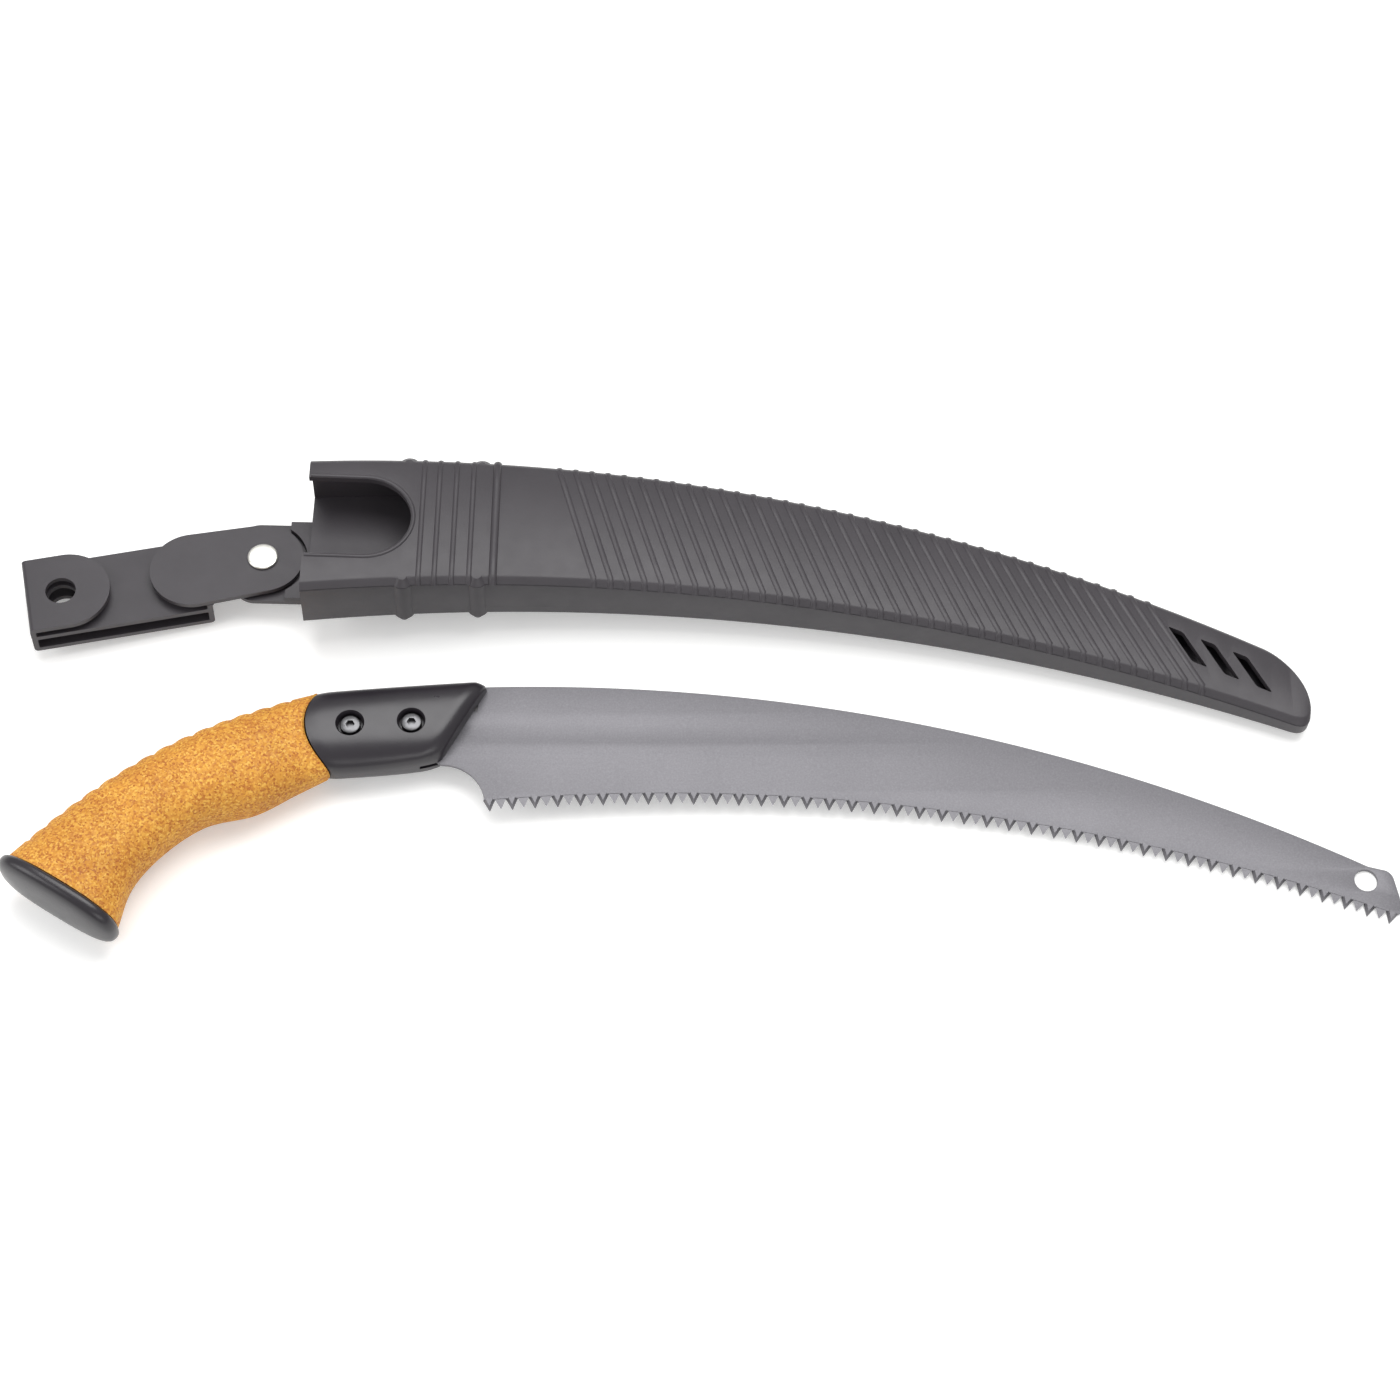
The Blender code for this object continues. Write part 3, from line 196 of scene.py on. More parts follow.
def corkMaterial():
    mat, tree, shader = newMaterial("corkRubber", (0.62, 0.27, 0.05), 0.7)
    coords = tree.nodes.new("ShaderNodeTexCoord")
    cells = tree.nodes.new("ShaderNodeTexVoronoi")
    cells.inputs["Scale"].default_value = 1500
    tree.links.new(coords.outputs["Object"], cells.inputs["Vector"])
    grey = tree.nodes.new("ShaderNodeSeparateColor")
    tree.links.new(cells.outputs["Color"], grey.inputs["Color"])
    grains = rampNode(tree, grey.outputs["Red"], [
        (0.0, (0.42, 0.125, 0.016)), (0.22, (0.54, 0.21, 0.026)), (0.5, (0.64, 0.285, 0.036)),
        (0.78, (0.71, 0.35, 0.046)), (1.0, (0.80, 0.47, 0.085))])
    cloud = noiseNode(tree, 60, 5)
    warm = rampNode(tree, cloud.outputs["Fac"], [(0.3, (0.80, 0.74, 0.66)), (0.7, (1.0, 1.0, 1.0))])
    mix = tree.nodes.new("ShaderNodeMix")
    mix.data_type = "RGBA"
    mix.blend_type = "MULTIPLY"
    mix.inputs["Factor"].default_value = 1.0
    tree.links.new(grains.outputs["Color"], mix.inputs[6])
    tree.links.new(warm.outputs["Color"], mix.inputs[7])
    tree.links.new(mix.outputs[2], shader.inputs["Base Color"])
    addBump(tree, shader, grey.outputs["Green"], 0.35, 0.00022)
    roughnessFrom(tree, shader, grey.outputs["Blue"], 0.55, 0.85)
    return mat


def metalMaterial(name, colour, low, high, grain=900):
    mat, tree, shader = newMaterial(name, colour, high, 1.0)
    fine = noiseNode(tree, grain, 4)
    roughnessFrom(tree, shader, fine.outputs["Fac"], low, high)
    addBump(tree, shader, fine.outputs["Fac"], 0.15, 0.00003)
    return mat


materials = {
    "black_plastic": plasticMaterial("scabbardPlastic", (0.035, 0.031, 0.036), (0.044, 0.039, 0.045),
                                     0.40, 0.54, 2600),
    "gloss_plastic": plasticMaterial("ferrulePlastic", (0.018, 0.0155, 0.0195), (0.024, 0.0205, 0.0255),
                                     0.24, 0.36, 1800),
    "blade_steel": bladeMaterial(),
    "cork_rubber": corkMaterial(),
    "bolt_steel": metalMaterial("boltSteel", (0.13, 0.13, 0.135), 0.28, 0.42),
    "rivet_metal": metalMaterial("rivetMetal", (0.80, 0.79, 0.74), 0.28, 0.45),
    "spring_steel": metalMaterial("springSteel", (0.36, 0.36, 0.37), 0.25, 0.4)}
print("materials made")


def meshPiece(name, mesh, place, body, slot, nodes=(), angle=32):
    mesh.transform(place)
    mesh.materials.clear()
    mesh.materials.append(materials[slot])
    mesh.shade_smooth()
    mesh.set_sharp_from_angle(angle=radians(angle))
    obj = bpy.data.objects.new(name, mesh)
    bpy.context.scene.collection.objects.link(obj)
    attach(obj, body)
    if nodes:
        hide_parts(*nodes)


def fromBmesh(name, bm):
    bmesh.ops.remove_doubles(bm, verts=bm.verts, dist=1e-7)
    bmesh.ops.recalc_face_normals(bm, faces=bm.faces)
    mesh = bpy.data.meshes.new(name)
    bm.to_mesh(mesh)
    bm.free()
    return mesh


def arc(centre, radius, start, end, steps):
    return [(centre[0] + radius * cos(start + (end - start) * k / steps),
             centre[1] + radius * sin(start + (end - start) * k / steps)) for k in range(steps + 1)]


def circle(centre, radius, sides=64):
    return arc(centre, radius, 0, 2 * pi, sides)[:-1]


def evaluated(obj):
    bpy.context.view_layer.update()
    graph = bpy.context.evaluated_depsgraph_get()
    return bpy.data.meshes.new_from_object(obj.evaluated_get(graph))


def plate(name, outlines, thick, zMiddle=0.0, bevel=0.0):
    curve = bpy.data.curves.new(name, "CURVE")
    curve.dimensions = "2D"
    curve.fill_mode = "BOTH"
    curve.extrude = thick / 2 - bevel
    curve.bevel_depth = bevel
    curve.bevel_resolution = 2
    curve.offset = -bevel
    for outline in outlines:
        spline = curve.splines.new("POLY")
        spline.points.add(len(outline) - 1)
        for point, (x, y) in zip(spline.points, outline):
            point.co = (x, y, 0, 1)
        spline.use_cyclic_u = True
    holder = bpy.data.objects.new(name, curve)
    bpy.context.scene.collection.objects.link(holder)
    mesh = evaluated(holder)
    bpy.data.objects.remove(holder, do_unlink=True)
    bm = bmesh.new()
    bm.from_mesh(mesh)
    bmesh.ops.translate(bm, verts=bm.verts, vec=(0, 0, zMiddle))
    bmesh.ops.remove_doubles(bm, verts=bm.verts, dist=1e-6)
    bmesh.ops.recalc_face_normals(bm, faces=bm.faces)
    bm.to_mesh(mesh)
    bm.free()
    return mesh


def turned(name, steps, sides=64):  # radius and height at each step, about Z
    bm = bmesh.new()
    angles = [2 * pi * k / sides for k in range(sides)]
    rings = [[bm.verts.new((r * cos(angle), r * sin(angle), z)) for angle in angles] for r, z in steps]
    for low, high in zip(rings, rings[1:]):
        for k in range(sides):
            bm.faces.new((low[k], low[(k + 1) % sides], high[(k + 1) % sides], high[k]))
    bm.faces.new(rings[0][::-1])
    bm.faces.new(rings[-1])
    return fromBmesh(name, bm)


def loft(name, rings, mirrored=False):  # mirrored rings are capped by strips, others by one face
    bm = bmesh.new()
    loops = [[bm.verts.new(point) for point in ring] for ring in rings]
    count = len(loops[0])
    for near, far in zip(loops, loops[1:]):
        for k in range(count):
            bm.faces.new((near[k], near[(k + 1) % count], far[(k + 1) % count], far[k]))
    for loop in (loops[0], loops[-1]):
        if mirrored:
            for k in range(count // 2 - 1):
                bm.faces.new((loop[k], loop[k + 1], loop[-k - 2], loop[-k - 1]))
        else:
            bm.faces.new(loop)
    return fromBmesh(name, bm)


def boolMesh(base, tools, operation="DIFFERENCE"):
    holder = bpy.data.objects.new("boolBase", base)
    bpy.context.scene.collection.objects.link(holder)
    helpers = []
    for tool in tools:
        helper = bpy.data.objects.new("boolTool", tool)
        bpy.context.scene.collection.objects.link(helper)
        mod = holder.modifiers.new("bool", "BOOLEAN")
        mod.operation = operation
        mod.solver = "EXACT"
        mod.object = helper
        helpers.append(helper)
    mesh = evaluated(holder)
    for obj in helpers + [holder]:
        bpy.data.objects.remove(obj, do_unlink=True)
    mesh.name = base.name
    return mesh


def newTree(name, sizes):
    tree = bpy.data.node_groups.new(name, "GeometryNodeTree")
    tree.interface.new_socket("Geometry", in_out="OUTPUT", socket_type="NodeSocketGeometry")
    tree.interface.new_socket("Geometry", in_out="INPUT", socket_type="NodeSocketGeometry")
    tree.interface.new_socket("Material", in_out="INPUT", socket_type="NodeSocketMaterial")
    for label, kind in sizes.items():
        tree.interface.new_socket(label, in_out="INPUT", socket_type="NodeSocket" + kind)
    return tree, tree.nodes.new("NodeGroupInput"), tree.nodes.new("NodeGroupOutput")


def endTree(tree, source, groupIn, groupOut):
    realize = tree.nodes.new("GeometryNodeRealizeInstances")
    setMaterial = tree.nodes.new("GeometryNodeSetMaterial")
    tree.links.new(source, realize.inputs[0])
    tree.links.new(realize.outputs[0], setMaterial.inputs["Geometry"])
    tree.links.new(groupIn.outputs["Material"], setMaterial.inputs["Material"])
    tree.links.new(setMaterial.outputs[0], groupOut.inputs[0])


def growTree(name, tree, baseMesh, values):
    holder = bpy.data.objects.new(name, baseMesh)
    bpy.context.scene.collection.objects.link(holder)
    mod = holder.modifiers.new(name, "NODES")
    mod.node_group = tree
    for item in tree.interface.items_tree:
        if item.in_out == "INPUT" and item.name in values:
            mod[item.identifier] = values[item.name]
    mesh = evaluated(holder)
    bpy.data.objects.remove(holder, do_unlink=True)
    mesh.name = name
    return mesh


def sweepTree():
    tree, groupIn, groupOut = newTree("ribSweep", {
        "Rib Width": "Float", "Rib Height": "Float", "Rib Sides": "Int"})
    toCurve = tree.nodes.new("GeometryNodeMeshToCurve")
    ringNode = tree.nodes.new("GeometryNodeCurvePrimitiveCircle")
    scale = tree.nodes.new("GeometryNodeTransform")
    combine = tree.nodes.new("ShaderNodeCombineXYZ")
    normal = tree.nodes.new("GeometryNodeSetCurveNormal")
    sweep = tree.nodes.new("GeometryNodeCurveToMesh")
    ringNode.inputs["Radius"].default_value = 0.5
    sweep.inputs["Fill Caps"].default_value = True
    normal.mode = "Z_UP"
    tree.links.new(groupIn.outputs["Geometry"], toCurve.inputs[0])
    tree.links.new(groupIn.outputs["Rib Sides"], ringNode.inputs["Resolution"])
    tree.links.new(groupIn.outputs["Rib Width"], combine.inputs["X"])
    tree.links.new(groupIn.outputs["Rib Height"], combine.inputs["Y"])
    combine.inputs["Z"].default_value = 1.0
    tree.links.new(ringNode.outputs[0], scale.inputs["Geometry"])
    tree.links.new(combine.outputs[0], scale.inputs["Scale"])
    tree.links.new(toCurve.outputs[0], normal.inputs[0])
    tree.links.new(normal.outputs[0], sweep.inputs["Curve"])
    tree.links.new(scale.outputs[0], sweep.inputs["Profile Curve"])
    endTree(tree, sweep.outputs[0], groupIn, groupOut)
    return tree


def pathMesh(name, paths):
    bm = bmesh.new()
    for path in paths:
        verts = [bm.verts.new(point) for point in path]
        for a, b in zip(verts, verts[1:]):
            bm.edges.new((a, b))
    mesh = bpy.data.meshes.new(name)
    bm.to_mesh(mesh)
    bm.free()
    return mesh


print("tools ready")


blade = {"thick": 1.4 * mm, "end": 364.5 * mm, "start": 30 * mm,
         "spineRadius": 671 * mm, "spineTop": (45 * mm, 19.0 * mm),
         "teethRadius": 750 * mm, "teethTop": (93 * mm, -30.1 * mm),
         "pitch": 4.22 * mm, "depth": 4.3 * mm, "ground": 0.95 * mm, "set": 0.18 * mm,
         "heelSpot": (11 * mm, 4.2 * mm), "heelRadius": 16.4 * mm,  # the height is above the teeth's arc
         "tang": ((24, 8.5), (-33, 8.5), (-33, -10), (5, -10)), "edge": 0.12 * mm,
         "hole": (353 * mm, -62.2 * mm), "holeRadius": 4.3 * mm, "boltHole": 3.3 * mm}


def spineY(x):
    return archY(x, blade["spineTop"], blade["spineRadius"])


def teethY(x):
    return archY(x, blade["teethTop"], blade["teethRadius"])


def toothMesh(name, ground):
    half = blade["pitch"] / 2
    thick = blade["thick"] / 2
    bevel = blade["ground"]
    tip = -blade["depth"]
    full = [(-half, 0.4 * mm), (-half, 0), (-0.12 * mm, tip), (0.12 * mm, tip), (half, 0), (half, 0.4 * mm)]
    cut = [(-half + bevel, 0.4 * mm), (-half + bevel, 0), (-0.05 * mm, tip + 1.7 * mm),
           (0.05 * mm, tip + 1.7 * mm), (half - bevel, 0), (half - bevel, 0.4 * mm)]
    bm = bmesh.new()
    low = [bm.verts.new((x, y, -thick)) for x, y in full]
    high = [bm.verts.new((x, y, thick)) for x, y in cut]
    bm.faces.new(low)
    bm.faces.new(high)
    for k in range(6):
        bm.faces.new((low[k], low[(k + 1) % 6], high[(k + 1) % 6], high[k]))
    if not ground:
        bmesh.ops.scale(bm, verts=bm.verts, vec=(1, 1, -1))
        for vert in bm.verts:
            vert.co.y *= 0.93 if vert.co.y < -1 * mm else 1
    return fromBmesh(name, bm)


def toothTree(grounds):
    tree, groupIn, groupOut = newTree("toothRow", {"Tooth Set": "Float"})
    index = tree.nodes.new("GeometryNodeInputIndex")
    halfIndex = tree.nodes.new("ShaderNodeMath")
    halfIndex.operation = "MODULO"
    halfIndex.inputs[1].default_value = 2
    tree.links.new(index.outputs[0], halfIndex.inputs[0])
    turn = tree.nodes.new("GeometryNodeInputNamedAttribute")
    turn.data_type = "FLOAT"
    turn.inputs["Name"].default_value = "turn"
    spin = tree.nodes.new("ShaderNodeCombineXYZ")
    tree.links.new(turn.outputs[0], spin.inputs["Z"])
    toTurn = tree.nodes.new("FunctionNodeEulerToRotation")
    tree.links.new(spin.outputs[0], toTurn.inputs[0])
    join = tree.nodes.new("GeometryNodeGeometryToInstance")
    for tooth in reversed(grounds):
        info = tree.nodes.new("GeometryNodeObjectInfo")
        info.inputs["Object"].default_value = tooth
        tree.links.new(info.outputs["Geometry"], join.inputs[0])
    place = tree.nodes.new("GeometryNodeInstanceOnPoints")
    place.inputs["Pick Instance"].default_value = True
    tree.links.new(groupIn.outputs["Geometry"], place.inputs["Points"])
    tree.links.new(join.outputs[0], place.inputs["Instance"])
    tree.links.new(halfIndex.outputs[0], place.inputs["Instance Index"])
    tree.links.new(toTurn.outputs[0], place.inputs["Rotation"])
    offset = tree.nodes.new("ShaderNodeMath")
    offset.operation = "MULTIPLY_ADD"
    tree.links.new(halfIndex.outputs[0], offset.inputs[0])
    double = tree.nodes.new("ShaderNodeMath")
    double.operation = "MULTIPLY"
    double.inputs[1].default_value = -2
    tree.links.new(groupIn.outputs["Tooth Set"], double.inputs[0])
    tree.links.new(double.outputs[0], offset.inputs[1])
    tree.links.new(groupIn.outputs["Tooth Set"], offset.inputs[2])
    lift = tree.nodes.new("ShaderNodeCombineXYZ")
    tree.links.new(offset.outputs[0], lift.inputs["Z"])
    move = tree.nodes.new("GeometryNodeTranslateInstances")
    tree.links.new(place.outputs[0], move.inputs["Instances"])
    tree.links.new(lift.outputs[0], move.inputs["Translation"])
    endTree(tree, move.outputs[0], groupIn, groupOut)
    return tree


def makeBlade():
    centre = (blade["teethTop"][0], blade["teethTop"][1] - blade["teethRadius"])
    heelX, heelRise = blade["heelSpot"]
    heelCentre = (heelX, teethY(heelX) + heelRise)
    heelEnd = heelCentre[0] + blade["heelRadius"]
    gullet = blade["teethRadius"] + blade["depth"]
    first = atan2(sqrt(blade["teethRadius"] ** 2 - (heelEnd - centre[0]) ** 2), heelEnd - centre[0])
    lastX = blade["end"] - 3 * mm
    last = atan2(sqrt(blade["teethRadius"] ** 2 - (lastX - centre[0]) ** 2), lastX - centre[0])
    count = round((first - last) * blade["teethRadius"] / blade["pitch"])
    step = (last - first) / count
    heel = [p for p in arc(heelCentre, blade["heelRadius"], pi / 2, 0.0, 20)
            if (Vector(p) - Vector(centre)).length > gullet]
    root = arc(centre, gullet, first, last, 80)
    endLow = root[-1]
    end = [(blade["end"] + 0.4 * mm, endLow[1] + 1.0 * mm), (blade["end"] + 0.1 * mm, endLow[1] + 7 * mm)]
    end += arc((blade["end"] - 5.5 * mm, spineY(blade["end"]) - 0.4 * mm), 4.5 * mm, 0.15, 1.15, 8)
    spineStart = blade["start"] - 5 * mm  # begins under the ferrule
    xs = [spineStart + (blade["end"] - 10 * mm - spineStart) * k / 70 for k in range(71)]
    tang = [(x * mm, y * mm) for x, y in blade["tang"]]
    outline = heel + root + end + [(x, spineY(x)) for x in reversed(xs)] + tang
    holes = [circle(blade["hole"], blade["holeRadius"])]
    holes += [circle(spot, blade["boltHole"]) for spot in boltSpots.values()]
    mesh = plate("sawBlade", [outline] + holes, blade["thick"], bevel=blade["edge"])
    meshPiece("sawBlade", mesh, sawMatrix, "saw", "blade_steel", ("blade",), 25)

    rail = bmesh.new()
    turns = []
    for k in range(count):
        angle = first + step * (k + 0.5)
        rail.verts.new((centre[0] + gullet * cos(angle), centre[1] + gullet * sin(angle), 0))
        turns.append(angle - pi / 2)
    railMesh = bpy.data.meshes.new("toothRail")
    rail.to_mesh(railMesh)
    rail.free()
    layer = railMesh.attributes.new("turn", "FLOAT", "POINT")
    layer.data.foreach_set("value", turns)
    kinds = []
    for name, ground in (("groundTooth", True), ("plainTooth", False)):
        obj = bpy.data.objects.new(name, toothMesh(name, ground))
        bpy.context.scene.collection.objects.link(obj)
        kinds.append(obj)
    teeth = growTree("sawTeeth", toothTree(kinds), railMesh,
                     {"Material": materials["blade_steel"], "Tooth Set": blade["set"]})
    for obj in kinds:
        bpy.data.objects.remove(obj, do_unlink=True)
    meshPiece("sawTeeth", teeth, sawMatrix, "saw", "blade_steel", (), 12)


makeBlade()
print("blade made")


# a station is its back, its belly and its thickness
handle = {"capProfile": ((0.3, 0.6), (0.5, -0.4), (1.0, -0.95), (1.8, -1.15), (2.8, -1.15), (3.6, -0.95),
                         (4.4, -0.5), (5.1, 0.3), (5.7, 1.5), (6.2, 3.2), (6.6, 5.6), (6.9, 8.6), (7.0, 12)),
          "inset": 0.2 * mm, "capPower": 2.6, "count": 96, "rings": 16, "bulge": 7 * mm,
          "notches": 14, "notchDepth": 1.1 * mm, "notchStart": 10.5 * mm, "notchEnd": 9 * mm,
          "lead": 0.7 * mm,
          "stations": (((-35.2, 15.4), (-30, -18.7), 20.5), ((-52, 10.0), (-42.5, -25.2), 25),
                       ((-72, 2.2), (-57, -33.0), 28.5), ((-92, -8.4), (-75, -37.6), 29),
                       ((-112, -22.0), (-89.5, -48.8), 28), ((-130, -37.1), (-99.5, -62.5), 27),
                       ((-145.4, -52.3), (-103.6, -78.4), 27.5))}


def ovalRing(top, bottom, thick, power=2.4, bulge=0.0, inset=0.0, count=96, dent=0.0):
    top, bottom = Vector((*top, 0)), Vector((*bottom, 0))
    across = (top - bottom).normalized()
    along = Vector((across.y, -across.x, 0))
    middle, half, depth = (top + bottom) / 2, (top - bottom).length / 2 - inset, thick / 2 - inset
    ring = []
    for k in range(count):
        angle = 2 * pi * (k + 0.5) / count
        u = abs(cos(angle)) ** (2 / power) * (1 if cos(angle) > 0 else -1)
        v = abs(sin(angle)) ** (2 / power) * (1 if sin(angle) > 0 else -1)
        cutIn = dent * max(0.0, (u - 0.45) / 0.55) ** 0.6 if u > 0.45 else 0.0
        point = middle + across * (half * u - cutIn) - along * (bulge * (1 - u * u))
        ring.append(point + Vector((0, 0, (depth - cutIn * 0.3) * v)))
    return ring


def catmull(a, b, c, d, t):  # a smooth curve from b to c
    values = []
    for p, q, r, s in zip(a, b, c, d):
        square, cube = 2 * p - 5 * q + 4 * r - s, 3 * q - p - 3 * r + s
        values.append(0.5 * (2 * q + (r - p) * t + square * t * t + cube * t ** 3))
    return values


def gripPath():
    rows = [[v * mm for v in (*back, *belly, thick)] for back, belly, thick in handle["stations"]]
    before = [2 * p - q for p, q in zip(rows[0], rows[1])]
    after = [2 * p - q for p, q in zip(rows[-1], rows[-2])]
    rows = [before] + rows + [after]
    path = []
    for k in range(1, len(rows) - 2):
        path += [catmull(*rows[k - 1:k + 3], step / handle["rings"]) for step in range(handle["rings"])]
    return path + [rows[-2]]


def makeGrip():
    path = gripPath()
    lengths = [0.0]
    for near, far in zip(path, path[1:]):
        lengths.append(lengths[-1] + sqrt((near[0] - far[0]) ** 2 + (near[1] - far[1]) ** 2))
    start, stop = handle["notchStart"], lengths[-1] - handle["notchEnd"]
    pitch = (stop - start) / handle["notches"]
    rings = []
    for index, (row, length) in enumerate(zip(path, lengths)):
        phase = (length - start) / pitch
        inside = 0 < phase < handle["notches"]
        dent = handle["notchDepth"] * (1 - abs(sin(pi * phase)) ** 0.55) if inside else 0.0
        bulge = handle["bulge"] * max(0.0, 1 - index / (2 * handle["rings"]))
        rings.append(ovalRing(row[:2], row[2:4], row[4], bulge=bulge, inset=handle["inset"], dent=dent,
                              count=handle["count"]))
    first, edge = path[0], handle["lead"]
    lead = ovalRing(first[:2], first[2:4], first[4], bulge=handle["bulge"], inset=edge, count=handle["count"])
    rings[0] = [point - Vector((edge, 0, 0)) for point in rings[0]]  # a rounded edge behind the ferrule
    rings.insert(0, [point - Vector((0.1 * mm, 0, 0)) for point in lead])
    mesh = loft("corkGrip", rings, mirrored=True)
    meshPiece("corkGrip", mesh, sawMatrix, "saw", "cork_rubber", ("grip",), 50)


def handleEnd():
    back, belly, thick = handle["stations"][-1]
    back, belly = Vector((*back, 0)) * mm, Vector((*belly, 0)) * mm
    across = (back - belly).normalized()
    outward = Vector((-across.y, across.x, 0))
    return back, belly, thick * mm, outward


def makeButtCap():
    back, belly, thick, outward = handleEnd()
    rings = []
    for depth, inset in handle["capProfile"]:
        ring = ovalRing(back[:2], belly[:2], thick, inset=inset * mm, power=handle["capPower"])
        rings.append([point + outward * depth * mm for point in ring])
    meshPiece("buttCap", loft("buttCap", rings, mirrored=True), sawMatrix, "saw", "gloss_plastic",
              ("butt_cap", "cap_screw"), 40)


# pairs are an upper and a lower corner; an edge is how far forward and how far in its ring lies
ferrule = {"front": ((28.6, 19.5), (9.4, -14.7)), "middle": ((4, 18.4), (-8, -17.2)),
           "rear": ((-34.8, 15.5), (-29.5, -18.5)), "thick": 19.4 * mm, "rearThick": 20.1 * mm,
           "edge": ((0.4, 3.6), (0.2, 2.6), (-0.8, 1.5), (-3.2, 0.5), (-4.6, 0.1)), "steps": 24,
           "recess": ((2.2, 0), (2.2, 5.2), (4.8, 5.2), (4.8, 8.9), (5.4, 9.9), (5.4, 30)),
           "slot": ((25, 9), (-33.4, 9), (-33.4, -10.4), (4, -10.4),
                    (0, -30), (40, -30), (40, 19), (29.7, 19.6)),
           "slotThick": 2 * mm}


def inMm(corners, forward=0.0):
    return [((x + forward) * mm, y * mm) for x, y in corners]


def makeFerrule():
    rings = [ovalRing(*inMm(ferrule["front"], forward), ferrule["thick"], power=3, inset=inset * mm)
             for forward, inset in ferrule["edge"]]
    lastEdge = ferrule["edge"][-1][0]
    stages = [inMm(ferrule["front"], lastEdge), inMm(ferrule["middle"]), inMm(ferrule["rear"])]
    for k in range(1, ferrule["steps"] + 1):
        t = k / ferrule["steps"]
        blend = [tuple(a * (1 - t) * (1 - t) + 2 * b * t * (1 - t) + c * t * t for a, b, c in zip(p, q, r))
                 for p, q, r in zip(*stages)]
        thick = ferrule["thick"] + (ferrule["rearThick"] - ferrule["thick"]) * t
        inset = 0.35 * mm * max(0.0, t - 0.95) * 20  # only the last ring is drawn in
        rings.append(ovalRing(*blend, thick, power=3 - 0.6 * t, bulge=handle["bulge"] * t * t, inset=inset))
    mesh = loft("ferruleBody", rings, mirrored=True)
    tools = []
    for x, y in boltSpots.values():
        for side in (1, -1):
            tool = turned("recess", inMm(ferrule["recess"]))
            flip = Matrix() if side > 0 else Matrix.Rotation(pi, 4, "X")
            tool.transform(Matrix.Translation((x, y, 0)) @ flip)
            tools.append(tool)
    tools.append(plate("tangSlot", [inMm(ferrule["slot"])], ferrule["slotThick"]))
    mesh = boolMesh(mesh, tools)
    meshPiece("ferruleBody", mesh, sawMatrix, "saw", "gloss_plastic", ("ferrule",), 40)


bolt = {"seat": 5.5 * mm, "socket": 1.75 * mm, "groove": (12 * mm, 1.2 * mm, 2.4 * mm),
        "head": ((1.7, -1), (1.7, 0), (3.5, 0), (3.8, 0.3), (3.8, 2.6), (3.6, 3.0), (3.2, 3.2))}


def makeBolts():
    seat = bolt["seat"]
    head = [(r * mm, seat + z * mm) for r, z in bolt["head"]]
    for label, (x, y) in boltSpots.items():
        place = sawMatrix @ Matrix.Translation((x, y, 0))
        socket = turned("socket", [(bolt["socket"], seat + 1.2 * mm), (bolt["socket"], seat + 5 * mm)], 6)
        screw = boolMesh(turned("boltHead", head), [socket])
        meshPiece(label + "Bolt", screw, place, "saw", "bolt_steel", ("bolt_" + label,))
        nut = turned("nutHead", head)
        nut.transform(Matrix.Rotation(pi, 4, "X"))
        groove = bmesh.new()
        bmesh.ops.create_cube(groove, size=1.0)
        grooveMesh = fromBmesh("groove", groove)
        grooveSize = Matrix.Diagonal((*bolt["groove"], 1))
        grooveMesh.transform(Matrix.Translation((0, 0, -seat - 3.2 * mm)) @ grooveSize)
        meshPiece(label + "Nut", boolMesh(nut, [grooveMesh]), place, "saw", "bolt_steel", ("nut_" + label,))


makeGrip()
makeButtCap()
makeFerrule()
makeBolts()
print("handle made")


def cornerDrop(x, radius):
    inside = x - (shell["end"] - radius)
    return radius - sqrt(max(radius ** 2 - inside ** 2, 0.0)) if inside > 0 else 0.0


def shellTop(x):
    return shellArcs(x)[0] - cornerDrop(x, shell["tipTop"])


def shellBottom(x):
    return shellArcs(x)[1] + cornerDrop(x, shell["tipBottom"])


def shellThick(x):
    share = max(0.0, (x - shell["mouth"]) / (shell["end"] - shell["mouth"]))
    return shell["mouthThick"] - (shell["mouthThick"] - shell["tipThick"]) * share ** shell["taper"]


def shellStations(end):
    straight = end - shell["tipTop"]
    steps = shell["steps"]
    stations = [shell["mouth"] + (straight - shell["mouth"]) * k / steps for k in range(steps + 1)]
    return stations + [straight + shell["tipTop"] * sin(pi / 2 * k / 14) for k in range(1, 15)]


def backRing(x):
    top, bottom, edge = shellTop(x), shellBottom(x), shell["chamfer"]
    seam = shellThick(x) - edge - shell["seamGap"]
    soft = 0.5 * mm
    near = soft * 0.4
    return [(x, top - 0.2 * mm, seam), (x, top, seam - 0.25 * mm), (x, top, edge + soft),
            (x, top - near, edge - near), (x, top - edge + near, near), (x, top - edge - soft, 0),
            (x, bottom + edge + soft, 0), (x, bottom + edge - near, near), (x, bottom + near, edge - near),
            (x, bottom, edge + soft), (x, bottom, seam - 0.25 * mm), (x, bottom + 0.2 * mm, seam)]


def frontRing(x):
    top, bottom, thick, edge = shellTop(x), shellBottom(x), shellThick(x), shell["chamfer"]
    seam = thick - edge
    soft = 0.45 * mm
    return [(x, top - 0.2 * mm, seam), (x, bottom + 0.2 * mm, seam), (x, bottom, seam + 0.2 * mm),
            (x, bottom + edge - soft, thick - soft * 0.7), (x, bottom + edge + soft, thick),
            (x, top - edge - soft, thick), (x, top - edge + soft, thick - soft * 0.7),
            (x, top, seam + 0.2 * mm)]


def hollowRing(x, shapeX, high=None):
    top, bottom = shellArcs(shapeX)[0] - shell["wall"], shellArcs(shapeX)[1] + shell["wall"]
    high = shellThick(shapeX) - shell["chamfer"] + 2 * mm if high is None else high
    return [(x, top, high), (x, top, shell["wall"]), (x, bottom, shell["wall"]), (x, bottom, high)]


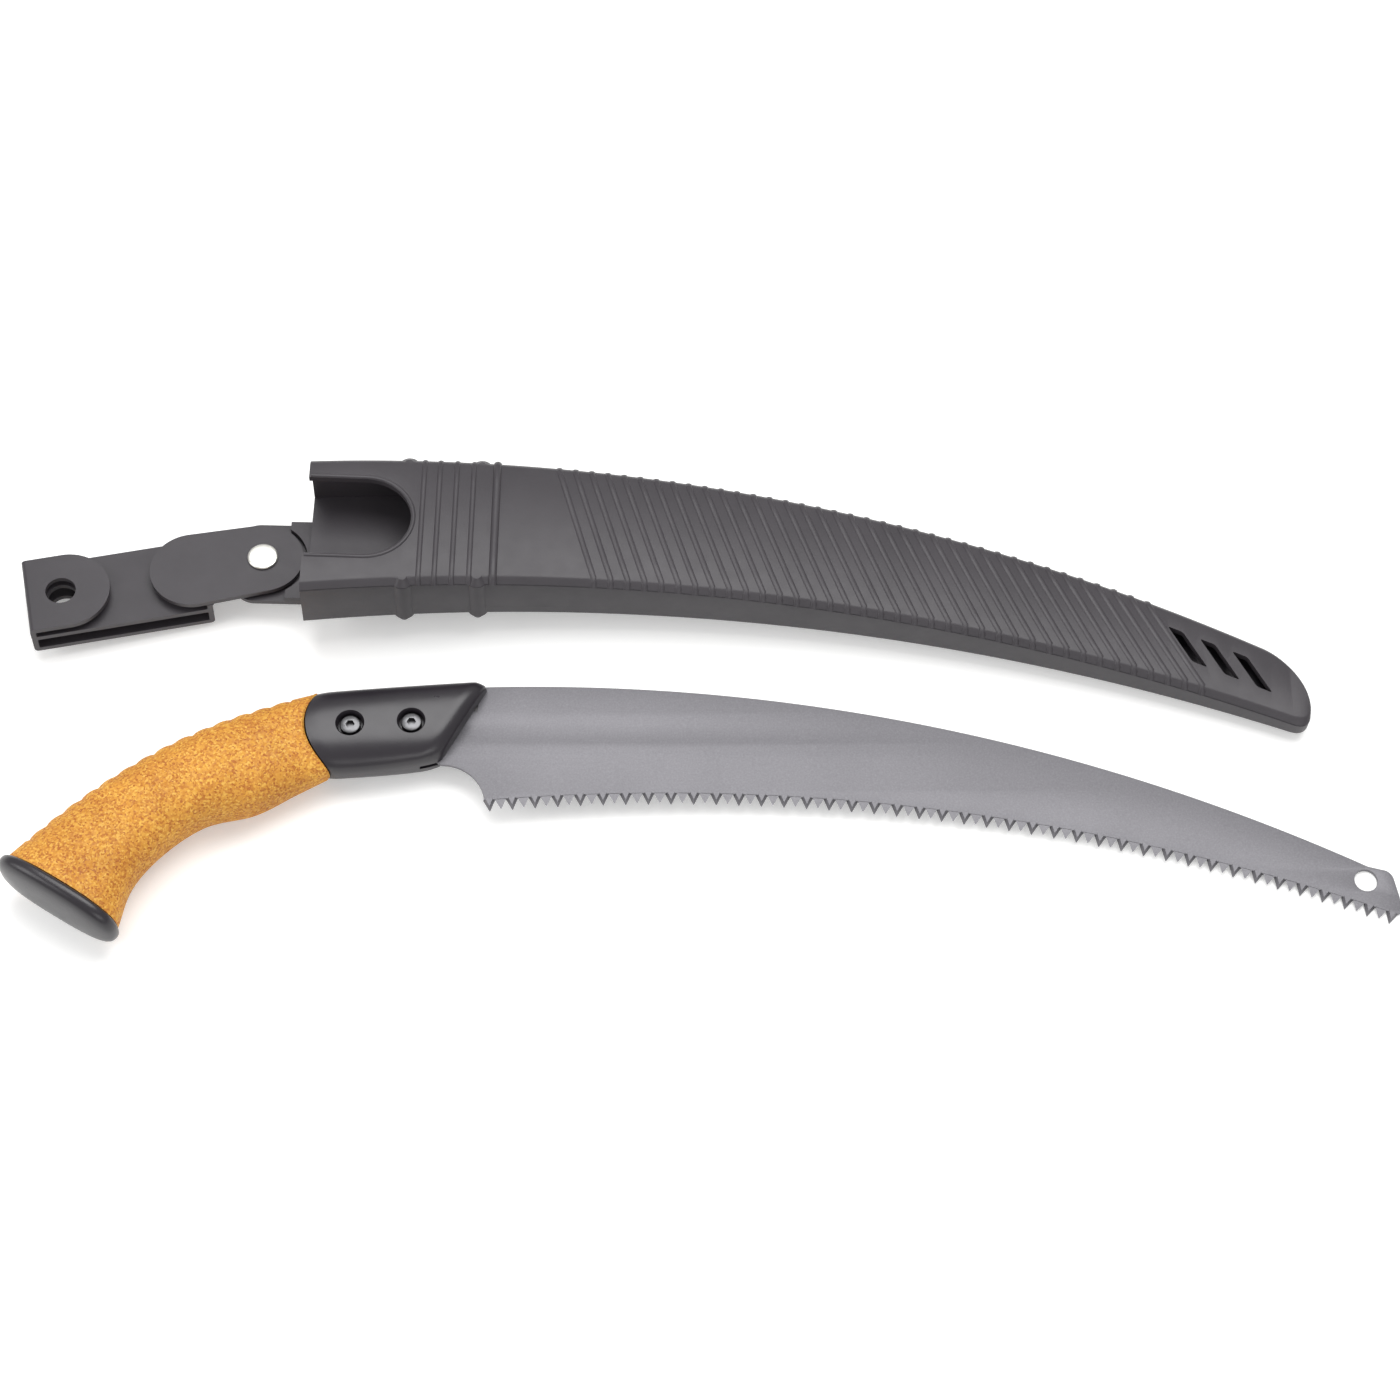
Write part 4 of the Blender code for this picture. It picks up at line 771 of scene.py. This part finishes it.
def hollowTool():
    stop = shell["end"] - 3 * mm
    rings = [hollowRing(shell["mouth"] - 10 * mm, shell["mouth"])]
    rings += [hollowRing(x, x) for x in shellStations(stop) if x < stop - shell["tipTop"] + 1e-9]
    end = stop - shell["tipBottom"]
    rings.append(hollowRing(end, end))
    drops = (11 * mm, 11 * mm, 0, 0)  # the top comes down towards the tip
    rings.append([(stop, y - drop, z) for drop, (_, y, z) in zip(drops, hollowRing(stop, stop))])
    return loft("hollow", rings)


posts = {"x": (28 * mm, 56 * mm), "radius": 4.2 * mm, "proud": 1.4 * mm, "cone": 1.6 * mm,
         "screwInset": 0.9 * mm, "screwHole": ((2.15, -1), (2.15, 1.8), (1.3, 1.8), (1.3, 8))}
lug = {"left": 11 * mm, "right": 43 * mm, "half": 18 * mm, "corner": 9 * mm, "thick": 5.8 * mm,
       "middle": -1.9 * mm, "edge": 0.5 * mm, "swingRadius": 17.2 * mm, "swingTurn": radians(56),
       "past": 5 * mm}  # left and right are measured from the rivet


def postPlaces():
    inset = posts["radius"] - posts["proud"]
    return [(x, y) for x in posts["x"] for y in (shellTop(x) - inset, shellBottom(x) + inset)]


def makeBackShell():
    mesh = loft("scabbardBack", [backRing(x) for x in shellStations(shell["end"] - 0.01 * mm)])
    adds = []
    for x, y in postPlaces():
        top = shellThick(x) - shell["chamfer"] - shell["seamGap"]
        post = turned("post", [(posts["radius"] - posts["cone"], 0), (posts["radius"], posts["cone"]),
                               (posts["radius"], top)], 40)
        post.transform(Matrix.Translation((x, y, 0)))
        adds.append(post)
    mesh = boolMesh(mesh, adds, "UNION")
    corner, past = lug["corner"], lug["past"]
    left, right = rivetSpot[0] - lug["left"], rivetSpot[0] + lug["right"]
    low, high = rivetSpot[1] - lug["half"], rivetSpot[1] + lug["half"]
    outline = arc((left + corner, high - corner), corner, pi / 2, pi, 16)
    outline += arc((left + corner, low + corner), corner, pi, 3 * pi / 2, 16) + [(right, low), (right, high)]
    lugMesh = plate("lug", [outline], lug["thick"], lug["middle"], bevel=lug["edge"])
    step = arc(rivetSpot, lug["swingRadius"], -lug["swingTurn"], lug["swingTurn"], 40)
    step += [(step[-1][0], high + past), (left - past, high + past), (left - past, low - past)]
    step.append((step[0][0], low - past))
    stepTool = plate("lugStep", [step], 11 * mm, lugTop + 5.5 * mm)
    bore = turned("bore", [(rivetBore, -20 * mm), (rivetBore, 20 * mm)])
    bore.transform(Matrix.Translation((*rivetSpot, 0)))
    mouth = shell["mouth"]
    trimPlan = [(mouth - 40 * mm, -60 * mm), (mouth, -60 * mm), (mouth, 40 * mm), (mouth - 40 * mm, 40 * mm)]
    trim = plate("trim", [trimPlan], 4 * mm, 2 * mm)  # clears the lug's top in front of the mouth
    mesh = boolMesh(mesh, [lugMesh], "UNION")
    holes = []
    for x in posts["x"]:
        for y in (shellTop(x) - posts["screwInset"], shellBottom(x) + posts["screwInset"]):
            hole = turned("screwHole", inMm(posts["screwHole"]), 32)
            hole.transform(Matrix.Translation((x, y, 0)))
            holes.append(hole)
    mesh = boolMesh(mesh, [hollowTool(), stepTool, bore, trim] + holes)
    meshPiece("scabbardBack", mesh, scabbardMatrix, "scabbard", "black_plastic", ("scabbard_back_shell",), 28)


def notchOutline(grow=0.0):
    radius = shell["notchWidth"] / 2 + grow
    centre = (shell["mouth"] + shell["notchLength"] - shell["notchWidth"] / 2, shell["notchY"])
    return arc(centre, radius, -pi / 2, pi / 2, 40), centre, radius


drains = {"places": ((326.5, -54), (338.5, -59), (350.5, -64)), "length": 17.5 * mm, "width": 6.2 * mm,
          "lean": radians(27), "slope": radians(23), "corner": 1.2 * mm}


def drainOutline(x, y):
    middle = Vector((x, y)) * mm
    down = Vector((sin(drains["lean"]), -cos(drains["lean"]))) * drains["length"] / 2
    across = Vector((cos(drains["slope"]), -sin(drains["slope"]))) * drains["width"] / 2
    corners = [middle - down - across, middle - down + across, middle + down + across, middle + down - across]
    outline = []
    for before, here, after in zip(corners[-1:] + corners[:-1], corners, corners[1:] + corners[:1]):
        start = here + (before - here).normalized() * drains["corner"]
        end = here + (after - here).normalized() * drains["corner"]
        for k in range(7):
            t = k / 6
            outline.append(tuple(start * (1 - t) ** 2 + here * (2 * t * (1 - t)) + end * t ** 2))
    return outline


def makeFrontShell():
    mesh = loft("scabbardFront", [frontRing(x) for x in shellStations(shell["end"] - 0.01 * mm)])
    adds = []
    for x, y in postPlaces():
        top = shellThick(x)
        post = turned("post", [(posts["radius"], top - shell["chamfer"]),
                               (posts["radius"] - shell["chamfer"], top - 0.1 * mm)], 40)
        post.transform(Matrix.Translation((x, y, 0)))
        adds.append(post)
    mesh = boolMesh(mesh, adds, "UNION")
    edge, centre, radius = notchOutline()
    outside = shell["mouth"] - 30 * mm
    notch = edge + [(outside, centre[1] + radius), (outside, centre[1] - radius)]
    tools = [plate("notch", [notch], 30 * mm, 25 * mm)]
    for x, y in drains["places"]:
        tools.append(plate("drain", [drainOutline(x, y)], 20 * mm, 12.7 * mm))
    mesh = boolMesh(mesh, tools)
    meshPiece("scabbardFront", mesh, scabbardMatrix, "scabbard", "black_plastic",
              ("scabbard_front_shell",), 28)


# ribs of the throat lie at these distances from the mouth; a cross section is width, height and sides
ribs = {"first": 93 * mm, "last": 322 * mm, "count": 37, "sink": 0.25 * mm,
        "leanStart": radians(14.3), "leanEnd": radians(23), "section": (2.6 * mm, 1.3 * mm, 12),
        "throat": (44 * mm, 50 * mm, 56.5 * mm, 63 * mm), "throatSection": (2.2 * mm, 1.4 * mm, 12),
        "collar": 72 * mm, "collarSection": (3.2 * mm, 2.6 * mm, 16),
        "lipGap": 0.9 * mm, "lipSink": 0.15 * mm, "lipSection": (1.7 * mm, 1.5 * mm, 12)}


def leanLine(x, lean):
    middle = sum(shellArcs(x)) / 2
    topX = botX = x
    for _ in range(6):
        topX = x - (shellTop(topX) - middle) * sin(lean) / cos(lean)
        botX = x + (middle - shellBottom(botX)) * sin(lean) / cos(lean)
    return topX, botX


def ribPath(x, lean):
    topX, botX = leanLine(x, lean)
    topY, botY, edge = shellTop(topX), shellBottom(botX), shell["chamfer"]
    low = edge * 0.95
    rows = [(topX, topY, low), (topX, topY - edge * 0.45, edge * 0.42), (topX, topY - edge * 1.15, 0)]
    for k in range(1, 6):
        t = k / 6
        rows.append((topX + (botX - topX) * t, topY - edge * 1.15 + (botY - topY + 2.3 * edge) * t, 0))
    rows += [(botX, botY + edge * 1.15, 0), (botX, botY + edge * 0.45, edge * 0.42), (botX, botY, low)]
    return [(px, py, shellThick(px) - drop - ribs["sink"]) for px, py, drop in rows]


def ribPiece(name, tree, paths, section):
    width, height, sides = section
    mesh = growTree(name, tree, pathMesh(name, paths), {
        "Material": materials["black_plastic"], "Rib Width": width, "Rib Height": height, "Rib Sides": sides})
    meshPiece(name, mesh, scabbardMatrix, "scabbard", "black_plastic", (), 50)


def makeRibs():
    tree = sweepTree()
    mouth = shell["mouth"]
    paths = []
    for k in range(ribs["count"]):
        share = k / (ribs["count"] - 1)
        x = ribs["first"] + (ribs["last"] - ribs["first"]) * share
        paths.append(ribPath(x, ribs["leanStart"] + (ribs["leanEnd"] - ribs["leanStart"]) * share))
    ribPiece("frontRibs", tree, paths, ribs["section"])
    ribPiece("throatRibs", tree, [ribPath(mouth + x, 0.0) for x in ribs["throat"]], ribs["throatSection"])
    ribPiece("throatCollar", tree, [ribPath(mouth + ribs["collar"], 0.0)], ribs["collarSection"])
    edge, centre, radius = notchOutline(ribs["lipGap"])
    ends = [[(mouth + 0.8 * mm + (centre[0] - mouth) * k / 8, centre[1] + side * radius) for k in range(8)]
            for side in (-1, 1)]
    lip = [(x, y, shellThick(x) - ribs["lipSink"]) for x, y in ends[0] + edge + ends[1][::-1]]
    ribPiece("notchLip", tree, [lip], ribs["lipSection"])


makeBackShell()
makeFrontShell()
makeRibs()
print("scabbard made")


hanger = {"width": 33 * mm, "thick": 2 * mm, "slot": 5.2 * mm, "hook": 2.7 * mm, "loopStart": -22 * mm,
          "loopLength": 69 * mm, "flap": 32 * mm, "hole": 5.75 * mm, "holeFromEnd": 13.4 * mm,
          "ovalSpan": 27 * mm, "ovalRadius": 15.6 * mm}
ovalLow = lugTop + 1.3 * mm


def hangerProfile(top):
    t, outer, inner = hanger["thick"], 1.7 * mm, 0.6 * mm
    upper = top - t
    middle = upper - hanger["hook"]
    slotTop = middle - t
    slotLow = slotTop - hanger["slot"]
    bottom = slotLow - t
    right = hanger["loopStart"]
    left = right - hanger["loopLength"]
    bridge = -hanger["ovalSpan"] - hanger["width"] / 2
    edge = arc((left + outer, bottom + outer), outer, 3 * pi / 2, pi, 8)
    groove = middle - t / 2
    edge += [(left, groove - 0.5 * mm), (left + 0.35 * mm, groove), (left, groove + 0.5 * mm)]
    edge += arc((left + outer, top - outer), outer, pi, pi / 2, 8)
    edge += [(left + hanger["flap"], top), (left + hanger["flap"], upper)]
    edge += arc((left + t + inner, upper - inner), inner, pi / 2, pi, 4)
    edge += arc((left + t + inner, middle + inner), inner, pi, 3 * pi / 2, 4)
    edge += arc((right - t - inner, middle + inner), inner, -pi / 2, 0, 4)
    edge += arc((right - t - inner, upper - inner), inner, 0, pi / 2, 4)
    edge += [(bridge, upper), (bridge, top), (hanger["ovalRadius"], top), (hanger["ovalRadius"], upper)]
    edge += [(right + 0.8 * mm, upper), (right, upper - 0.8 * mm)]
    edge += [(right, groove + 0.5 * mm), (right - 0.35 * mm, groove), (right, groove - 0.5 * mm)]
    edge += arc((right - outer, bottom + outer), outer, 0, -pi / 2, 8)
    slot = (arc((left + t + inner, slotLow + inner), inner, pi, 3 * pi / 2, 4)
            + arc((right - t - inner, slotLow + inner), inner, -pi / 2, 0, 4)
            + arc((right - t - inner, slotTop - inner), inner, 0, pi / 2, 4)
            + arc((left + t + inner, slotTop - inner), inner, pi / 2, pi, 4))
    return edge, slot


def makeHanger():
    top = ovalLow + hanger["thick"]
    edge, slot = hangerProfile(top)
    mesh = plate("beltHanger", [edge, slot], hanger["width"])
    mesh.transform(Matrix.Rotation(pi / 2, 4, "X"))
    half, far = hanger["width"] / 2, 60 * mm
    left = hanger["loopStart"] - hanger["loopLength"]
    low = top - hanger["thick"] - 0.3 * mm
    flapPlan = ([(left - 5 * mm, half + 1 * mm), (left - 5 * mm, -half - 1 * mm)]
                + arc((left + hanger["flap"] - half, 0), half, -pi / 2, pi / 2, 40))
    ovalPlan = (arc((0, 0), hanger["ovalRadius"], -pi / 2, pi / 2, 40)
                + arc((-hanger["ovalSpan"], 0), half, pi / 2, 3 * pi / 2, 40))
    split = hanger["loopStart"] - hanger["loopLength"] * 0.475
    blocks = (("flap", flapPlan, (left + 2 * mm, split - 0.3 * mm)),
              ("oval", ovalPlan, (split + 0.3 * mm, far)))
    trims = []
    for name, plan, (x0, x1) in blocks:
        blockPlan = [(x0, -far), (x1, -far), (x1, far), (x0, far)]
        block = plate(name, [blockPlan], top + 2 * mm - low, (top + 2 * mm + low) / 2)
        keep = plate(name + "Keep", [plan], 12 * mm, top)
        trims.append(boolMesh(block, [keep]))
    hole = turned("flapHole", [(hanger["hole"], -30 * mm), (hanger["hole"], 10 * mm)], 64)
    hole.transform(Matrix.Translation((left + hanger["holeFromEnd"], 0, 0)))
    pivot = turned("pivot", [(rivetBore, -30 * mm), (rivetBore, 10 * mm)], 40)
    mesh = boolMesh(mesh, trims + [hole, pivot])
    meshPiece("beltHanger", mesh, hangerMatrix, "hanger", "black_plastic", ("belt_hanger",), 30)


# the head's radius and height above its seat
rivetSizes = {"shank": 3 * mm, "shankLow": -6 * mm, "play": 0.2 * mm,
         "head": ((5.7, 0), (5.85, 0.15), (5.85, 0.6), (5.6, 0.9), (5.0, 1.02), (3.0, 1.08), (1.2, 1.1))}


def makeRivet():
    low = ovalLow + hanger["thick"] + rivetSizes["play"]
    place = scabbardMatrix @ Matrix.Translation((*rivetSpot, 0))
    steps = [(rivetSizes["shank"], rivetSizes["shankLow"]), (rivetSizes["shank"], low)]
    steps += [(r * mm, low + z * mm) for r, z in rivetSizes["head"]]
    meshPiece("rivetHead", turned("rivetHead", steps, 72), place, "scabbard", "rivet_metal",
              ("hanger_rivet",), 50)


makeHanger()
makeRivet()
print("hanger made")


# these pieces keep the shape they have in the frame
for name in ("blade_retainer", "retainer_rivet", "swivel_washer", "rivet_burr",
             "shell_screw_1", "shell_screw_2", "shell_screw_3", "shell_screw_4"):
    slotName = next(part["material_slot"] for part in record["subparts"] if part["node"] == name)
    node = frame["nodes"][name]
    node.data.materials.clear()
    node.data.materials.append(materials[slotName])


studio = {"floorSize": 6.0, "aim": (1.8 * mm, 7 * mm, 0), "elevation": radians(63), "distance": 1.05,
          "lens": 70.6, "floorGlow": 0.28, "skyLight": 0.5,
          "lamps": (("topSoftbox", (0.15, 0.55, 1.5), (1.6, 1.0), 24),  # place, size, watts
                    ("sideSoftbox", (-1.3, -0.2, 0.9), (0.8, 0.8), 6),
                    ("frontFill", (0.5, -1.4, 1.0), (1.2, 0.6), 5))}


def makeFloor():
    mesh = bpy.data.meshes.new("floor")
    half = studio["floorSize"] / 2
    corners = [(-half, -half, 0), (half, -half, 0), (half, half, 0), (-half, half, 0)]
    mesh.from_pydata(corners, [], [(0, 1, 2, 3)])
    floor = bpy.data.objects.new("floor", mesh)
    bpy.context.scene.collection.objects.link(floor)
    mat, tree, shader = newMaterial("tablePaper", (0.88, 0.88, 0.87), 0.8)
    output = tree.nodes["Material Output"]
    glow = tree.nodes.new("ShaderNodeEmission")
    add = tree.nodes.new("ShaderNodeAddShader")
    path = tree.nodes.new("ShaderNodeLightPath")
    seen = tree.nodes.new("ShaderNodeMath")
    seen.operation = "MAXIMUM"
    level = tree.nodes.new("ShaderNodeMath")
    level.operation = "MULTIPLY"
    level.inputs[1].default_value = studio["floorGlow"]
    through = tree.nodes.new("ShaderNodeMath")
    through.operation = "MAXIMUM"
    tree.links.new(path.outputs["Is Camera Ray"], seen.inputs[0])
    tree.links.new(path.outputs["Is Glossy Ray"], seen.inputs[1])
    tree.links.new(seen.outputs[0], through.inputs[0])
    tree.links.new(path.outputs["Is Transmission Ray"], through.inputs[1])
    tree.links.new(through.outputs[0], level.inputs[0])
    tree.links.new(level.outputs[0], glow.inputs["Strength"])
    tree.links.new(shader.outputs[0], add.inputs[0])
    tree.links.new(glow.outputs[0], add.inputs[1])
    tree.links.new(add.outputs[0], output.inputs["Surface"])
    mesh.materials.append(mat)


def areaLight(name, place, size, watts):
    data = bpy.data.lights.new(name, "AREA")
    data.shape = "RECTANGLE"
    data.size, data.size_y = size
    data.energy = watts
    light = bpy.data.objects.new(name, data)
    light.location = place
    light.rotation_euler = (-Vector(place)).to_track_quat("-Z", "Y").to_euler()  # looks at the table's middle
    bpy.context.scene.collection.objects.link(light)


def makeLight():
    for lamp in studio["lamps"]:
        areaLight(*lamp)
    world = bpy.data.worlds.new("studio")
    world.use_nodes = True
    world.node_tree.nodes["Background"].inputs["Color"].default_value = (1, 1, 1, 1)
    world.node_tree.nodes["Background"].inputs["Strength"].default_value = studio["skyLight"]
    bpy.context.scene.world = world


def makeCamera():
    data = bpy.data.cameras.new("camera")
    data.lens = studio["lens"]
    data.sensor_width = 36
    data.clip_end = 20
    camera = bpy.data.objects.new("camera", data)
    tilt = studio["elevation"]
    aim = Vector(studio["aim"])
    camera.location = aim + Vector((0, -cos(tilt), sin(tilt))) * studio["distance"]
    camera.rotation_euler = (pi / 2 - tilt, 0, 0)
    bpy.context.scene.collection.objects.link(camera)
    bpy.context.scene.camera = camera
    bpy.context.scene.view_settings.view_transform = "Standard"


makeFloor()
makeLight()
makeCamera()
print("studio made")

bpy.context.view_layer.update()
